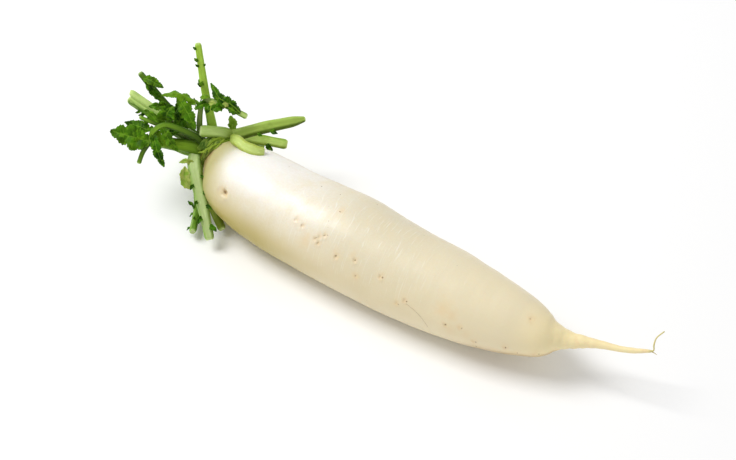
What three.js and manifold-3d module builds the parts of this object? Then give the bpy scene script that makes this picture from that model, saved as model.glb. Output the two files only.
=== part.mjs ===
// A picked daikon radish lying on its side: one long white root with its thin tail, the short crown
// that the leaves grow from, and the cut leaf stalks and young leaves that were left on it.
//
// Millimetres, +Z up. +X runs along the root from the crown to the tail. The origin is the middle of
// the flat spot that the root rests on, so the surface under the radish is z = 0.
import * as THREE from 'three';
import Module from 'manifold-3d';

const wasm = await Module();
wasm.setup();

// ---- driving dimensions -------------------------------------------------------------------------

const GAP = 0.3; // clearance of a stalk from the root, the crown and the stalks beside it
const ROOT_SIDES = 36;
const STALK_SIDES = 10;
const STALK_RINGS = 4; // rings between two rows of a stalk's line

// A blade's half width along its length is sin(pi * u ** BLADE_SKEW) ** BLADE_FULLNESS, where u runs
// from BLADE_START over BLADE_SPAN, so neither of its ends is a sharp point.
const BLADE_THICKNESS = 0.8;
const BLADE_START = 0.05;
const BLADE_SPAN = 0.93;
const BLADE_SKEW = 0.9; // below 1, the widest place lies nearer the foot
const BLADE_FULLNESS = 0.75;
const TOOTH_REACH = 0.97; // share of the half width that a tooth reaches
const NOTCH_REACH = 0.72; // and that the edge between two teeth reaches
const RUFFLE = 0.05; // rise of a tooth and fall of a notch, as a share of the half width

// A scrap starts inside its stalk, at these shares of the stalk's width. Its tip lies beyond the
// stalk's edge by these shares of the scrap's own length. It rises by a share of both.
const SCRAP_START = { across: 0.3, up: 0.2 };
const SCRAP_TIP = { across: 0.35, forward: 0.6, rise: 0.3 };
const SCRAP_BEND = 0.15; // how far back its middle bends, as a share of its length
const SCRAP_HALF_WIDTH = 0.36; // as a share of its length

// The root's centre line and radius, from the crown to the end of the hair root: x, y, z, radius.
const ROOT_LINE = [
  [-133.0, 15.8, 45.0, 15.2],
  [-128.6, 13.6, 43.4, 19.2],
  [-123.7, 11.2, 41.6, 23.0],
  [-117.7, 8.5, 39.8, 27.6],
  [-110.6, 6.6, 38.5, 30.5],
  [-101.9, 5.5, 37.6, 32.7],
  [-90.0, 4.7, 36.9, 34.4],
  [-75.0, 3.6, 36.2, 35.7],
  [-50.0, 2.2, 35.9, 36.6],
  [-22.0, 1.3, 36.9, 37.8],
  [6.0, 1.0, 37.4, 38.3],
  [33.0, 0.0, 36.3, 37.0],
  [60.0, 0.3, 34.9, 35.6],
  [85.0, 1.4, 34.4, 34.3],
  [109.0, 1.7, 34.2, 31.6],
  [130.0, 2.9, 34.3, 28.2],
  [148.5, 3.7, 34.5, 24.4],
  [164.5, 4.2, 35.1, 19.7],
  [173.0, 5.3, 35.7, 15.9],
  [179.3, 6.9, 36.3, 11.0],
  [184.3, 8.4, 36.5, 8.4],
  [190.0, 9.9, 36.9, 6.5],
  [197.5, 12.1, 38.1, 5.1],
  [208.4, 15.4, 39.6, 3.5],
  [223.1, 18.5, 41.2, 2.5],
  [234.2, 21.6, 42.9, 2.1],
  [244.0, 25.3, 45.1, 1.5],
  [248.6, 27.6, 46.2, 0.6],
  [247.6, 29.4, 50.5, 0.6],
  [247.6, 32.6, 55.7, 0.5],
  [250.6, 38.4, 59.0, 0.5],
];
const CROWN_LEAN = 0.65; // near the crown a section turns this share of the line's own slope
const LEAN_END_X = -60; // and from here to the tail it turns with the line

// The crown is a ribbed knob on the flat end of the root, and its axis leans up from the root's.
const CROWN_AXIS = new THREE.Vector3(-0.911, 0.338, 0.239).normalize();
const CROWN_SIDES = 32;
const CROWN_RIBS = 8;
const CROWN_RIB_DEPTH = 0.06; // share of the radius
const CROWN_PROFILE = [ // height above the root's end, radius
  [-0.8, 14.4], [1.4, 16.0], [3.4, 15.8], [6.0, 13.6], [8.4, 9.6], [10.0, 4.0],
];

// The point inside the crown that the stalks spread from.
const CROWN_HEART = new THREE.Vector3(-138, 18.5, 47);

// Directions that the channel of a stalk or the upper face of a blade looks towards.
const FRONT = [0.4, -0.54, 0.74];
const UP = [0, 0, 1];
const LOW_FRONT = [0.3, -0.85, 0.4];
const LEFT = [-0.7, -0.5, 0.5];

const LOOKS = {
  skin: { color: '#f2ead2', roughness: 0.45 },
  crown: { color: '#8c9a45', roughness: 0.6 },
  stalk: { color: '#9dbf58', roughness: 0.5 },
  leaf: { color: '#3a8224', roughness: 0.5 },
};

// One entry for each stalk or leaf. `line` runs outwards through x, y, z, width, in mm from
// CROWN_HEART. `facing` is the way its channel looks. `depth` is its thickness, `groove` the depth of
// its channel and `channel` the width of it, all as shares of its width. `slant` is how many mm more
// its cut end loses on one side than on the other. `leaves` are toothed blades that grow from it:
// their midrib, facing, half width, number of teeth on a side and fold in degrees. `branches` are
// side stalks. `scraps` are torn bits of leaf on its edges: how far along it (0 to 1), on which side
// (-1 or 1) and how long.
const STALKS = {
  stalk_stub: {
    facing: FRONT,
    line: [[7.1, 10.4, 8.1, 11], [3, 5.8, 14.5, 10], [-10.6, -4.5, 18.6, 9.4]],
  },
  stalk_hooked: {
    facing: FRONT,
    line: [
      [5, 12.8, 2.9, 8.4], [21.9, 0.9, 20.8, 8.8], [30.5, -2.7, 23.5, 9.2],
      [37.2, -3.3, 24.3, 9], [43, -2.3, 24.3, 8.6], [47.2, 0.6, 23.2, 7.4],
    ],
  },
  stalk_thick: {
    facing: FRONT,
    line: [
      [-4.5, -7.2, 0.9, 13], [-15.1, -13.5, 5.4, 10.8], [-29.9, -20, 6.6, 9.6],
      [-43.6, -24.2, 5.2, 8.6],
    ],
  },
  stalk_down_front: {
    facing: FRONT,
    line: [
      [-8.6, -6.1, -4.3, 9], [-9.6, -14.9, -0.3, 10.6], [-1.8, -26.4, -1.4, 10.6],
      [8.3, -35.9, -10.8, 9.4], [18.2, -44.4, -21.3, 8.6], [31.6, -56.5, -35.9, 7.2],
    ],
    leaves: [
      {
        line: [[-3.8, -23.2, -0.4], [-8.7, -26.6, 4.7], [-13.6, -30.8, 3.9]],
        facing: FRONT, halfWidth: 2.6, teeth: 2,
      },
      {
        line: [[3, -35.9, -11.1], [-3.4, -36.5, -4.7], [-8.3, -30.3, 1.9]],
        facing: FRONT, halfWidth: 5.4, teeth: 2,
      },
    ],
    scraps: [
      [0.48, -1, 4], [0.55, 1, 5], [0.63, -1, 6], [0.71, 1, 5], [0.77, -1, 6], [0.85, 1, 7],
      [0.92, -1, 8],
    ],
  },
  stalk_long: {
    facing: FRONT,
    line: [
      [3.8, 9.2, 4.8, 12], [12.5, 14, 10.8, 10], [28.1, 25.4, 17.1, 9.4], [45.4, 39.8, 20.8, 9],
      [54.3, 47.8, 22.4, 4.4],
    ],
    scraps: [[0.46, 1, 5], [0.58, 1, 7]],
  },
  stalk_tall: {
    facing: FRONT,
    line: [
      [-3.3, 2, -1, 8.6], [-9.4, 9.2, 14.7, 7.8], [-20.3, 17.9, 40.1, 6.2],
      [-32.7, 29.6, 74.9, 5.4],
    ],
    leaves: [
      {
        line: [[-26.8, 20, 46.2], [-23, 17, 47.2], [-20.2, 17, 46]],
        facing: FRONT, halfWidth: 2.2, teeth: 2,
      },
    ],
    scraps: [[0.97, -1, 4], [0.89, -1, 5], [0.85, -1, 4], [0.85, 1, 3], [0.71, -1, 5]],
  },
  stalk_wide: {
    facing: [0.46, -0.73, 0.5], depth: 0.6, groove: 0.24, channel: 0.13, slant: 3,
    line: [
      [-7.6, -3, -1.3, 13], [-25.2, -6.1, 7, 12], [-46.6, -9.3, 18.3, 11.6],
      [-73.6, -13.9, 32.8, 12.2],
    ],
    scraps: [[0.8, -1, 5], [0.84, -1, 4]],
  },
  leaf_arched: {
    facing: FRONT,
    line: [
      [-4.5, -6.7, 5.1, 6.2], [-11.4, -9.5, 15.4, 5.4], [-22.3, -15, 22.9, 5],
      [-33, -21.3, 27.2, 4.8], [-38.6, -28.8, 23.1, 4.6], [-38.2, -34.2, 16.5, 3.6],
    ],
    leaves: [
      {
        line: [[-38.6, -33.7, 17], [-52.2, -39.9, 20.1], [-68.8, -44.6, 21.6]],
        facing: FRONT, halfWidth: 9.8, teeth: 4,
      },
      {
        line: [[-39.2, -32.7, 18.1], [-44.4, -39.2, 15.8], [-50.9, -45.7, 11.5]],
        facing: FRONT, halfWidth: 6, teeth: 3,
      },
      {
        line: [[-39.3, -27.8, 22.9], [-51.5, -29, 21], [-63.6, -32.8, 23.8]],
        facing: UP, halfWidth: 6.4, teeth: 4,
      },
      {
        line: [[-38.2, -29.3, 22.6], [-29.1, -37.3, 15.4], [-20.3, -41.5, 4.6]],
        facing: FRONT, halfWidth: 5, teeth: 4, fold: 28,
      },
      {
        line: [[-33.7, -23, 26.4], [-25.1, -26.9, 21], [-16.5, -27.1, 11.7]],
        facing: FRONT, halfWidth: 4.6, teeth: 4, fold: 28,
      },
      {
        line: [[-37.8, -22.6, 27.6], [-46.2, -21, 32], [-53.2, -21.5, 32.5]],
        facing: FRONT, halfWidth: 3.2, teeth: 3,
      },
      {
        line: [[-38.4, -26.7, 24], [-35.1, -27.5, 19.2], [-29.6, -29.2, 12.3]],
        facing: FRONT, halfWidth: 4, teeth: 3,
      },
    ],
    branches: [
      {
        facing: LOW_FRONT,
        line: [[-38.4, -33.4, 15.4, 3], [-42.4, -39.2, 7, 3.6], [-41.6, -46.7, 1.4, 3.8]],
      },
      {
        facing: FRONT,
        line: [[-35.2, -22.4, 26.1, 2.4], [-43.1, -25.2, 29, 3.2], [-52.1, -26.7, 30.7, 3]],
      },
    ],
  },
  leaf_cluster: {
    facing: FRONT,
    line: [
      [-8.4, -1.9, -1.5, 5.5], [-18.1, -6.5, 8.8, 4.6], [-28.2, -10.4, 17.1, 4.2],
      [-37.1, -12.1, 23.8, 3.8], [-40.2, -5.5, 31.2, 2.4],
    ],
    leaves: [
      {
        line: [[-37, -13.8, 23.6], [-35.8, -12.6, 31.5], [-34.2, -6.8, 36.5]],
        facing: FRONT, halfWidth: 7.8, teeth: 4, fold: 8,
      },
      {
        line: [[-29, -10.6, 17.6], [-28, -5.6, 25.6], [-29.2, 0.8, 30.7]],
        facing: LOW_FRONT, halfWidth: 5, teeth: 3,
      },
      {
        line: [[-22.5, -8, 12.6], [-26.4, -8.7, 18.8], [-33.9, -4.6, 22.5]],
        facing: UP, halfWidth: 4.6, teeth: 3,
      },
      {
        line: [[-34.9, -11.7, 22.1], [-35.2, -2.6, 24.5], [-36.7, 5.4, 28.2]],
        facing: UP, halfWidth: 5, teeth: 3,
      },
      {
        line: [[-27.6, -10, 16.6], [-28.5, -16.7, 16.7], [-33.5, -19.2, 17.2]],
        facing: UP, halfWidth: 4.6, teeth: 3,
      },
      {
        line: [[-36.9, -15, 24.3], [-41, -19.5, 28.2], [-48.5, -22.7, 28]],
        facing: FRONT, halfWidth: 5.2, teeth: 3,
      },
      {
        line: [[-39.9, -6, 30.7], [-45.3, -10.4, 32.6], [-52.3, -14.4, 31.7]],
        facing: FRONT, halfWidth: 4, teeth: 3,
      },
    ],
  },
  leaf_heart: {
    facing: FRONT,
    line: [
      [-7.7, -2.5, 1.7, 5], [-14.3, -0.5, 11.3, 4.8], [-16.2, 4.6, 28.9, 4.2],
      [-14.8, 8.6, 37.6, 3.8], [-7.6, 12.3, 39.5, 3.8], [3.7, 15.2, 36.5, 4.2],
      [18.2, 19.2, 30.2, 5],
    ],
    leaves: [
      {
        line: [[-33.8, 0.1, 40.1], [-22.4, -4.2, 33.2], [-12.4, -8, 22.2]],
        facing: FRONT, halfWidth: 5.8, teeth: 4,
      },
      {
        line: [[-18.1, 6.8, 35.1], [-27.7, 3.8, 40], [-37.3, -0.1, 42.9], [-45.6, -5.6, 41.4]],
        facing: UP, halfWidth: 5.2, teeth: 4, fold: -25,
      },
      {
        line: [[13.4, 17.4, 33.7], [7, 15, 41.4], [-2.3, 12.9, 45.4], [-13.7, 18, 51.5]],
        facing: FRONT, halfWidth: 5.4, teeth: 5, fold: -24,
      },
      {
        line: [[13.3, 17.5, 32.5], [10.3, 12.8, 38.4], [4, 12.4, 40.9]],
        facing: FRONT, halfWidth: 4.2, teeth: 3, fold: -30,
      },
      {
        line: [[0.8, 13.7, 36.7], [-1.3, 7.5, 39.9], [-5.1, 4.5, 38.1]],
        facing: FRONT, halfWidth: 4, teeth: 3,
      },
      {
        line: [[-18, 7.5, 35.6], [-14.8, 8.5, 42.8], [-10.5, 11.3, 42.8]],
        facing: LEFT, halfWidth: 2, teeth: 2,
      },
      {
        line: [[-11.2, 7.8, 39.2], [-13.2, 2.6, 40.4], [-16.6, -0.4, 37.2]],
        facing: FRONT, halfWidth: 3.2, teeth: 3,
      },
      {
        line: [[-9.8, 8.6, 39.2], [-5.4, 8.6, 41.2], [-2.7, 8.7, 38.7]],
        facing: FRONT, halfWidth: 2.4, teeth: 2,
      },
      {
        line: [[-11.9, 7.4, 38], [-7.9, 3.8, 38.9], [-7.2, 1.1, 35.4]],
        facing: FRONT, halfWidth: 3, teeth: 2,
      },
      {
        line: [[1.6, 11.4, 38.7], [3.8, 12.1, 42.1], [5.7, 12.7, 40.4]],
        facing: FRONT, halfWidth: 2, teeth: 2,
      },
    ],
  },
  leaf_upright: {
    facing: FRONT,
    line: [
      [-11.6, 0.8, -4.7, 7], [-31.6, 2.5, 6.9, 6.4], [-49.7, 2.1, 22.6, 5.6],
      [-71.6, 1.6, 45.2, 4.6],
    ],
    leaves: [
      {
        line: [[-68.2, 1.4, 42], [-59.7, 1.2, 43], [-49.6, 2.3, 39.7]],
        facing: FRONT, halfWidth: 4, teeth: 3,
      },
      {
        line: [[-52.4, 1.6, 25.4], [-58.6, -1.5, 34.5], [-66, 0.4, 40.5]],
        facing: FRONT, halfWidth: 3.6, teeth: 4, fold: 30,
      },
    ],
  },
  leaf_small: {
    facing: FRONT,
    line: [[5.2, 12.5, 2.6, 3.2], [4.7, 16.4, 8.2, 2.6], [3.6, 19.2, 13.3, 1.8]],
    leaves: [
      {
        line: [[4.7, 16.4, 8.2], [3.6, 19.2, 13.3], [0.8, 21.1, 19.8]],
        facing: FRONT, halfWidth: 4.4, teeth: 2, fold: 8,
      },
    ],
  },
  stalk_down_back: {
    facing: LOW_FRONT,
    line: [
      [-3.3, -6.8, -5.9, 9], [-2.4, -15.6, -12.6, 8.2], [12.3, -27.2, -31.3, 7.6],
      [32, -40.6, -39, 7.2],
    ],
  },
  stalk_down_side: {
    facing: LEFT,
    line: [
      [-7.6, -5.5, -10.9, 7.6], [-9.3, -15.2, -19.6, 7.6], [2.6, -33.2, -36.4, 7.4],
      [14.2, -56, -38, 7.2],
    ],
    leaves: [
      {
        line: [[5.4, -36.5, -39], [0.2, -35.5, -34.4], [-4.5, -35.6, -32.3]],
        facing: LEFT, halfWidth: 2.4, teeth: 2,
      },
      {
        line: [[2.1, -32.8, -35.9], [9.5, -36.3, -36.5], [14.6, -41.8, -39]],
        facing: LOW_FRONT, halfWidth: 2.8, teeth: 3,
      },
    ],
    scraps: [[0.75, 1, 4], [0.85, -1, 4], [0.93, 1, 4]],
  },
  stalk_far_low: {
    facing: LEFT,
    line: [
      [-1.2, 4.3, -4.2, 9], [-0.3, 19, -11.2, 8.4], [0.4, 27.9, -27.5, 7.8], [1.5, 30.7, -40, 7],
    ],
  },
  stalk_far_left: {
    facing: UP,
    line: [
      [-6.7, -2.1, -6.3, 8], [-21.1, -7.3, -10, 7.4], [-36, -7.5, -12.6, 6.8],
      [-51.7, -7.3, -17.1, 6],
    ],
  },
  stalk_far_right: {
    facing: UP,
    line: [
      [1.3, 11.9, -2.6, 9], [4.6, 26, -12.4, 8.4], [7.8, 37.7, -21.3, 7.8],
      [11.5, 45.9, -32.7, 7],
    ],
  },
  stalk_short: {
    facing: FRONT,
    line: [
      [3.1, 16.7, 0, 8.6], [12.7, 23.7, -2, 8.6], [25.2, 32.2, -5.5, 8.4], [40, 41.2, -9.8, 8],
    ],
    scraps: [[0.71, 1, 8]],
  },
};

// ---- curves and closed bodies -------------------------------------------------------------------

/** The row at `t` (0 to 1) of a Catmull-Rom curve through rows of any number of columns. */
function along(rows, t) {
  const last = rows.length - 1;
  const place = Math.min(Math.max(t, 0), 1) * last;
  const i = Math.min(Math.floor(place), last - 1);
  const u = place - i;
  const [b, c] = [rows[i], rows[i + 1]];
  const a = rows[i - 1] ?? b.map((v, k) => 2 * v - c[k]);
  const d = rows[i + 2] ?? c.map((v, k) => 2 * v - b[k]);
  return b.map((v, k) => v
    + 0.5 * u * (c[k] - a[k] + u * (2 * a[k] - 5 * v + 4 * c[k] - d[k]
    + u * (3 * v - a[k] - 3 * c[k] + d[k]))));
}

/** Where a line is at `t`, the way it runs there, and the two directions across it. */
function frameAt(rows, t, facing) {
  const nearby = 0.001;
  const [x, y, z, width] = along(rows, t);
  const [before, after] = [along(rows, t - nearby), along(rows, t + nearby)];
  const forward = new THREE.Vector3(...after).sub(new THREE.Vector3(...before)).normalize();
  const side = new THREE.Vector3().crossVectors(forward, new THREE.Vector3(...facing)).normalize();
  const up = new THREE.Vector3().crossVectors(side, forward);
  return { point: new THREE.Vector3(x, y, z), width, forward, side, up };
}

const offset = ({ point, side, up }, sideways, upwards) => (
  point.clone().addScaledVector(side, sideways).addScaledVector(up, upwards)
);

/** A closed body through rings of points. `cap` lists the triangles that close an end ring. */
function skin(rings, cap) {
  const sides = rings[0].length;
  const faces = [];
  for (let i = 0; i + 1 < rings.length; i += 1) {
    for (let k = 0; k < sides; k += 1) {
      const [a, b] = [i * sides + k, i * sides + (k + 1) % sides];
      const [c, d] = [a + sides, b + sides];
      // both faces of a thin blade are split along the same diagonal
      if (k < sides / 2) faces.push([a, b, d], [a, d, c]);
      else faces.push([a, b, c], [b, d, c]);
    }
  }
  const end = (rings.length - 1) * sides;
  cap.forEach(([a, b, c]) => faces.push([a, c, b], [end + a, end + b, end + c]));
  return solid(rings.flat(), faces);
}

const fan = (sides) => Array.from({ length: sides - 2 }, (_, k) => [0, k + 1, k + 2]);

/** A manifold solid of points and triangles, turned so that its faces look out. */
function solid(points, faces) {
  const volume = faces.reduce((sum, [a, b, c]) => (
    sum + points[a].dot(new THREE.Vector3().crossVectors(points[b], points[c]))
  ), 0);
  const outward = volume > 0 ? faces : faces.map(([a, b, c]) => [a, c, b]);
  return new wasm.Manifold(new wasm.Mesh({
    numProp: 3,
    vertProperties: new Float32Array(points.flatMap((p) => p.toArray())),
    triVerts: new Uint32Array(outward.flat()),
  }));
}

/** The largest connected piece of a solid, as a geometry. What a cut left loose is dropped. */
function largestPiece(body) {
  const { vertProperties, triVerts } = body.getMesh();
  const parent = Array.from({ length: vertProperties.length / 3 }, (_, i) => i);
  const find = (i) => {
    let top = i;
    while (parent[top] !== top) top = parent[top];
    parent[i] = top;
    return top;
  };
  for (let i = 0; i < triVerts.length; i += 3) {
    parent[find(triVerts[i])] = find(triVerts[i + 1]);
    parent[find(triVerts[i + 1])] = find(triVerts[i + 2]);
  }
  const pieces = new Map();
  for (let i = 0; i < triVerts.length; i += 3) {
    const top = find(triVerts[i]);
    if (!pieces.has(top)) pieces.set(top, []);
    pieces.get(top).push(...triVerts.slice(i, i + 3));
  }
  const index = [...pieces.values()].sort((p, q) => q.length - p.length)[0];
  const geometry = new THREE.BufferGeometry();
  geometry.setAttribute('position', new THREE.BufferAttribute(new Float32Array(vertProperties), 3));
  geometry.setIndex(index);
  return geometry;
}

// ---- the root -----------------------------------------------------------------------------------

/** The root, `grow` mm larger all round, flat where it would reach below the surface. */
function rootBody(grow) {
  const rings = ROOT_LINE.map((_, i) => {
    const frame = frameAt(ROOT_LINE, i / (ROOT_LINE.length - 1), UP);
    if (frame.point.x < LEAN_END_X) {
      frame.forward.lerp(new THREE.Vector3(1, 0, 0), 1 - CROWN_LEAN).normalize();
      frame.side.crossVectors(frame.forward, new THREE.Vector3(...UP)).normalize();
      frame.up.crossVectors(frame.side, frame.forward);
    }
    if (i === 0) frame.point.addScaledVector(frame.forward, -grow);
    return Array.from({ length: ROOT_SIDES }, (__, k) => {
      const angle = (2 * Math.PI * k) / ROOT_SIDES;
      const radius = frame.width + grow;
      const point = offset(frame, radius * Math.sin(angle), -radius * Math.cos(angle));
      point.z = Math.max(point.z, 0);
      return point;
    });
  });
  return skin(rings, fan(ROOT_SIDES));
}

// ---- the crown ----------------------------------------------------------------------------------

function crownBody(grow) {
  const base = new THREE.Vector3(...ROOT_LINE[0]);
  const side = new THREE.Vector3().crossVectors(CROWN_AXIS, new THREE.Vector3(...UP)).normalize();
  const up = new THREE.Vector3().crossVectors(side, CROWN_AXIS);
  const top = CROWN_PROFILE.length - 1;
  const rings = CROWN_PROFILE.map(([height, radius], row) => {
    const lift = height + (grow * row) / top;
    const point = base.clone().addScaledVector(CROWN_AXIS, lift);
    return Array.from({ length: CROWN_SIDES }, (_, k) => {
      const angle = (2 * Math.PI * k) / CROWN_SIDES;
      const ribbed = (radius + grow) * (1 + CROWN_RIB_DEPTH * Math.cos(CROWN_RIBS * angle));
      return offset({ point, side, up }, ribbed * Math.cos(angle), ribbed * Math.sin(angle));
    });
  });
  return skin(rings, fan(CROWN_SIDES));
}

// ---- stalks and leaves --------------------------------------------------------------------------

const fromHeart = (rows) => rows.map(([x, y, z, ...rest]) => [
  x + CROWN_HEART.x, y + CROWN_HEART.y, z + CROWN_HEART.z, ...rest,
]);

/** A leaf stalk: round below, with a shallow channel along the side that it faces. */
function stalkBody({ line, facing, depth = 0.8, groove = 0.1, channel = 0.25, slant = 0 }, grow) {
  const rows = fromHeart(line);
  const steps = (rows.length - 1) * STALK_RINGS;
  const rings = Array.from({ length: steps + 1 }, (_, i) => {
    const frame = frameAt(rows, i / steps, facing);
    return Array.from({ length: STALK_SIDES }, (__, k) => {
      const angle = (2 * Math.PI * k) / STALK_SIDES;
      const across = (frame.width / 2) * Math.sin(angle);
      const dip = Math.cos(angle) < 0 ? Math.exp(-((across / (channel * frame.width)) ** 2)) : 0;
      const high = -depth * (frame.width / 2) * Math.cos(angle) - groove * frame.width * dip;
      const back = i === steps ? slant * (0.5 - 0.5 * Math.sin(angle)) : 0;
      return offset(frame, across + grow * Math.sin(angle), high - grow * Math.cos(angle))
        .addScaledVector(frame.forward, -back);
    });
  });
  return skin(rings, fan(STALK_SIDES));
}

/** A thin blade along its midrib, folded up along it and toothed: every other ring is a tooth. */
function blade({ line, facing, halfWidth, teeth, fold = 18 }, grow) {
  const steps = 2 * teeth + 1;
  const bend = THREE.MathUtils.degToRad(fold);
  const half = BLADE_THICKNESS / 2 + grow;
  const rings = Array.from({ length: steps + 1 }, (_, i) => {
    const s = i / steps;
    const frame = frameAt(line, s, facing);
    const wave = Math.sin(Math.PI * (BLADE_START + BLADE_SPAN * s) ** BLADE_SKEW);
    const reach = halfWidth * wave ** BLADE_FULLNESS * (i % 2 ? TOOTH_REACH : NOTCH_REACH) + grow;
    const ruffle = (i % 2 ? RUFFLE : -RUFFLE) * halfWidth;
    const edge = (hand, lift) => offset(
      frame,
      hand * (reach * Math.cos(bend) - lift * Math.sin(bend)),
      reach * Math.sin(bend) + lift * Math.cos(bend) + ruffle,
    );
    const rib = (lift) => offset(frame, 0, lift / Math.cos(bend));
    return [edge(-1, half), rib(half), edge(1, half), edge(1, -half), rib(-half), edge(-1, -half)];
  });
  return skin(rings, [[0, 1, 4], [0, 4, 5], [1, 2, 3], [1, 3, 4]]);
}

/** A torn scrap of leaf that stands out from the edge of a stalk and lies along it. */
function scrap(stalk, [place, hand, length], grow) {
  const frame = frameAt(fromHeart(stalk.line), place, stalk.facing);
  const { width, forward } = frame;
  const start = offset(frame, hand * SCRAP_START.across * width, SCRAP_START.up * width);
  const out = hand * (width / 2 + SCRAP_TIP.across * length);
  const tip = offset(frame, out, SCRAP_TIP.rise * (width + length))
    .addScaledVector(forward, SCRAP_TIP.forward * length);
  const middle = start.clone().lerp(tip, 0.5).addScaledVector(forward, -SCRAP_BEND * length);
  const line = [start, middle, tip].map((p) => p.toArray());
  const halfWidth = SCRAP_HALF_WIDTH * length;
  return blade({ line, facing: stalk.facing, halfWidth, teeth: 1 }, grow);
}

function grownStalk(stalk, grow) {
  const blades = (stalk.leaves ?? []).map((leaf) => (
    blade({ ...leaf, line: fromHeart(leaf.line) }, grow)
  ));
  const scraps = (stalk.scraps ?? []).map((entry) => scrap(stalk, entry, grow));
  const branches = (stalk.branches ?? []).map((branch) => stalkBody(branch, grow));
  return [...blades, ...scraps, ...branches].reduce(
    (whole, addition) => whole.add(addition),
    stalkBody(stalk, grow),
  );
}

// ---- the radish ---------------------------------------------------------------------------------

function piece(name, body, look) {
  const material = new THREE.MeshStandardMaterial({ ...look, metalness: 0 });
  const mesh = new THREE.Mesh(largestPiece(body), material);
  mesh.name = name;
  return mesh;
}

const radish = new THREE.Group();
radish.add(piece('root', rootBody(0), LOOKS.skin));
radish.add(piece('crown', crownBody(0).subtract(rootBody(GAP)), LOOKS.crown));

let taken = rootBody(GAP).add(crownBody(GAP));
for (const [name, stalk] of Object.entries(STALKS)) {
  const look = name.startsWith('leaf') ? LOOKS.leaf : LOOKS.stalk;
  radish.add(piece(name, grownStalk(stalk, 0).subtract(taken), look));
  taken = taken.add(grownStalk(stalk, GAP));
}

export default radish;
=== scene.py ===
# A picked daikon radish lying on its side: the looks of its root, crown, leaf stalks and young leaves.
#
# Shapes are written in millimetres in the part's own frame (+X from the crown to the tail, +Z up, the
# origin under the root) and become metres when a piece is made. Each piece stands where its CAD node is.
import math
from dataclasses import dataclass, replace

import bpy
import numpy as np
from mathutils import Matrix, Vector


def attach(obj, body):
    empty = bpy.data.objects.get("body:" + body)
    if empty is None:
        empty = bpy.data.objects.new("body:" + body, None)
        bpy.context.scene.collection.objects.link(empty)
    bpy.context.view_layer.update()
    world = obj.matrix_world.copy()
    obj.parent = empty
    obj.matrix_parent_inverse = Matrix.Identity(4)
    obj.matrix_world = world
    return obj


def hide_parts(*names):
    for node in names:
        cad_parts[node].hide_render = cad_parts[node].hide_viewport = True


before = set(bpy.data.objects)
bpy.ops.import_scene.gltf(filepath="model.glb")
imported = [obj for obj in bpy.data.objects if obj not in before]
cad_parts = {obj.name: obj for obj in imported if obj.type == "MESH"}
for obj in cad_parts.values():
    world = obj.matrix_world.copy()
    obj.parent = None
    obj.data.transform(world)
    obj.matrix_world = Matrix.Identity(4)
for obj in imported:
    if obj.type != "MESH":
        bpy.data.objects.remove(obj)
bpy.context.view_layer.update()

MM = 0.001

# ---- camera, light and floor ----------------

CAMERA_AZIMUTH, CAMERA_ELEVATION = 32.5, 50.0  # degrees
CAMERA_DISTANCE = 1.5  # metres
CAMERA_LENS, CAMERA_SENSOR = 95.0, 36.0  # mm
CAMERA_AIM = Vector((0.00954, 0.01326, 0.04524))

FLOOR_SIZE = 12.0  # metres
SKY_STRENGTH = 0.58
LAMP_PLACE, LAMP_SIZE, LAMP_POWER = (-1.4, -0.34, 2.16), 1.2, 44.0  # metres, metres, watts

# ---- the root ----------------

# Its centre line and radius, from the crown to the end of the hair root: x, y, z, radius.
ROOT_LINE = [
    (-133.0, 15.8, 45.0, 15.2),
    (-128.6, 13.6, 43.4, 19.2),
    (-123.7, 11.2, 41.6, 23.0),
    (-117.7, 8.5, 39.8, 27.6),
    (-110.6, 6.6, 38.5, 30.5),
    (-101.9, 5.5, 37.6, 32.7),
    (-90.0, 4.7, 36.9, 34.4),
    (-75.0, 3.6, 36.2, 35.7),
    (-50.0, 2.2, 35.9, 36.6),
    (-22.0, 1.3, 36.9, 37.8),
    (6.0, 1.0, 37.4, 38.3),
    (33.0, 0.0, 36.3, 37.0),
    (60.0, 0.3, 34.9, 35.6),
    (85.0, 1.4, 34.4, 34.3),
    (109.0, 1.7, 34.2, 31.6),
    (130.0, 2.9, 34.3, 28.2),
    (148.5, 3.7, 34.5, 24.4),
    (164.5, 4.2, 35.1, 19.7),
    (173.0, 5.3, 35.7, 15.9),
    (179.3, 6.9, 36.3, 11.0),
    (184.3, 8.4, 36.5, 8.4),
    (190.0, 9.9, 36.9, 6.5),
    (197.5, 12.1, 38.1, 5.1),
    (208.4, 15.4, 39.6, 3.5),
    (223.1, 18.5, 41.2, 2.5),
    (234.2, 21.6, 42.9, 2.1),
    (244.0, 25.3, 45.1, 1.5),
    (248.6, 27.6, 46.2, 0.6),
    (247.6, 29.4, 50.5, 0.6),
    (247.6, 32.6, 55.7, 0.5),
    (250.6, 38.4, 59.0, 0.5),
]
CROWN_LEAN = 0.65  # near the crown a section turns this share of the line's own slope
LEAN_FROM_X, LEAN_TO_X = -100.0, -60.0  # and between these it comes to turn with the line
ROOT_RINGS, ROOT_SIDES = 400, 236
ROOT_END = [(1.4, 11.0), (1.4, 6.0), (1.4, 2.2), (1.15, 1.1), (0.6, 0.35)]  # mm back and in, at the crown

# Unevenness of the skin: height and size in mm, and seed.
SKIN_WAVES = [(0.45, 34, 1), (0.22, 13, 2)]
SKIN_RING_HEIGHT, SKIN_RING_SIZE = 0.07, np.array([2.2, 30, 30])  # fine rings round the root
TAIL_KNOBS = 0.07  # share of the tail's radius
TAIL_RADIUS, BODY_RADIUS = 3, 14  # below the first the root is all tail, above the second all body

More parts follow.
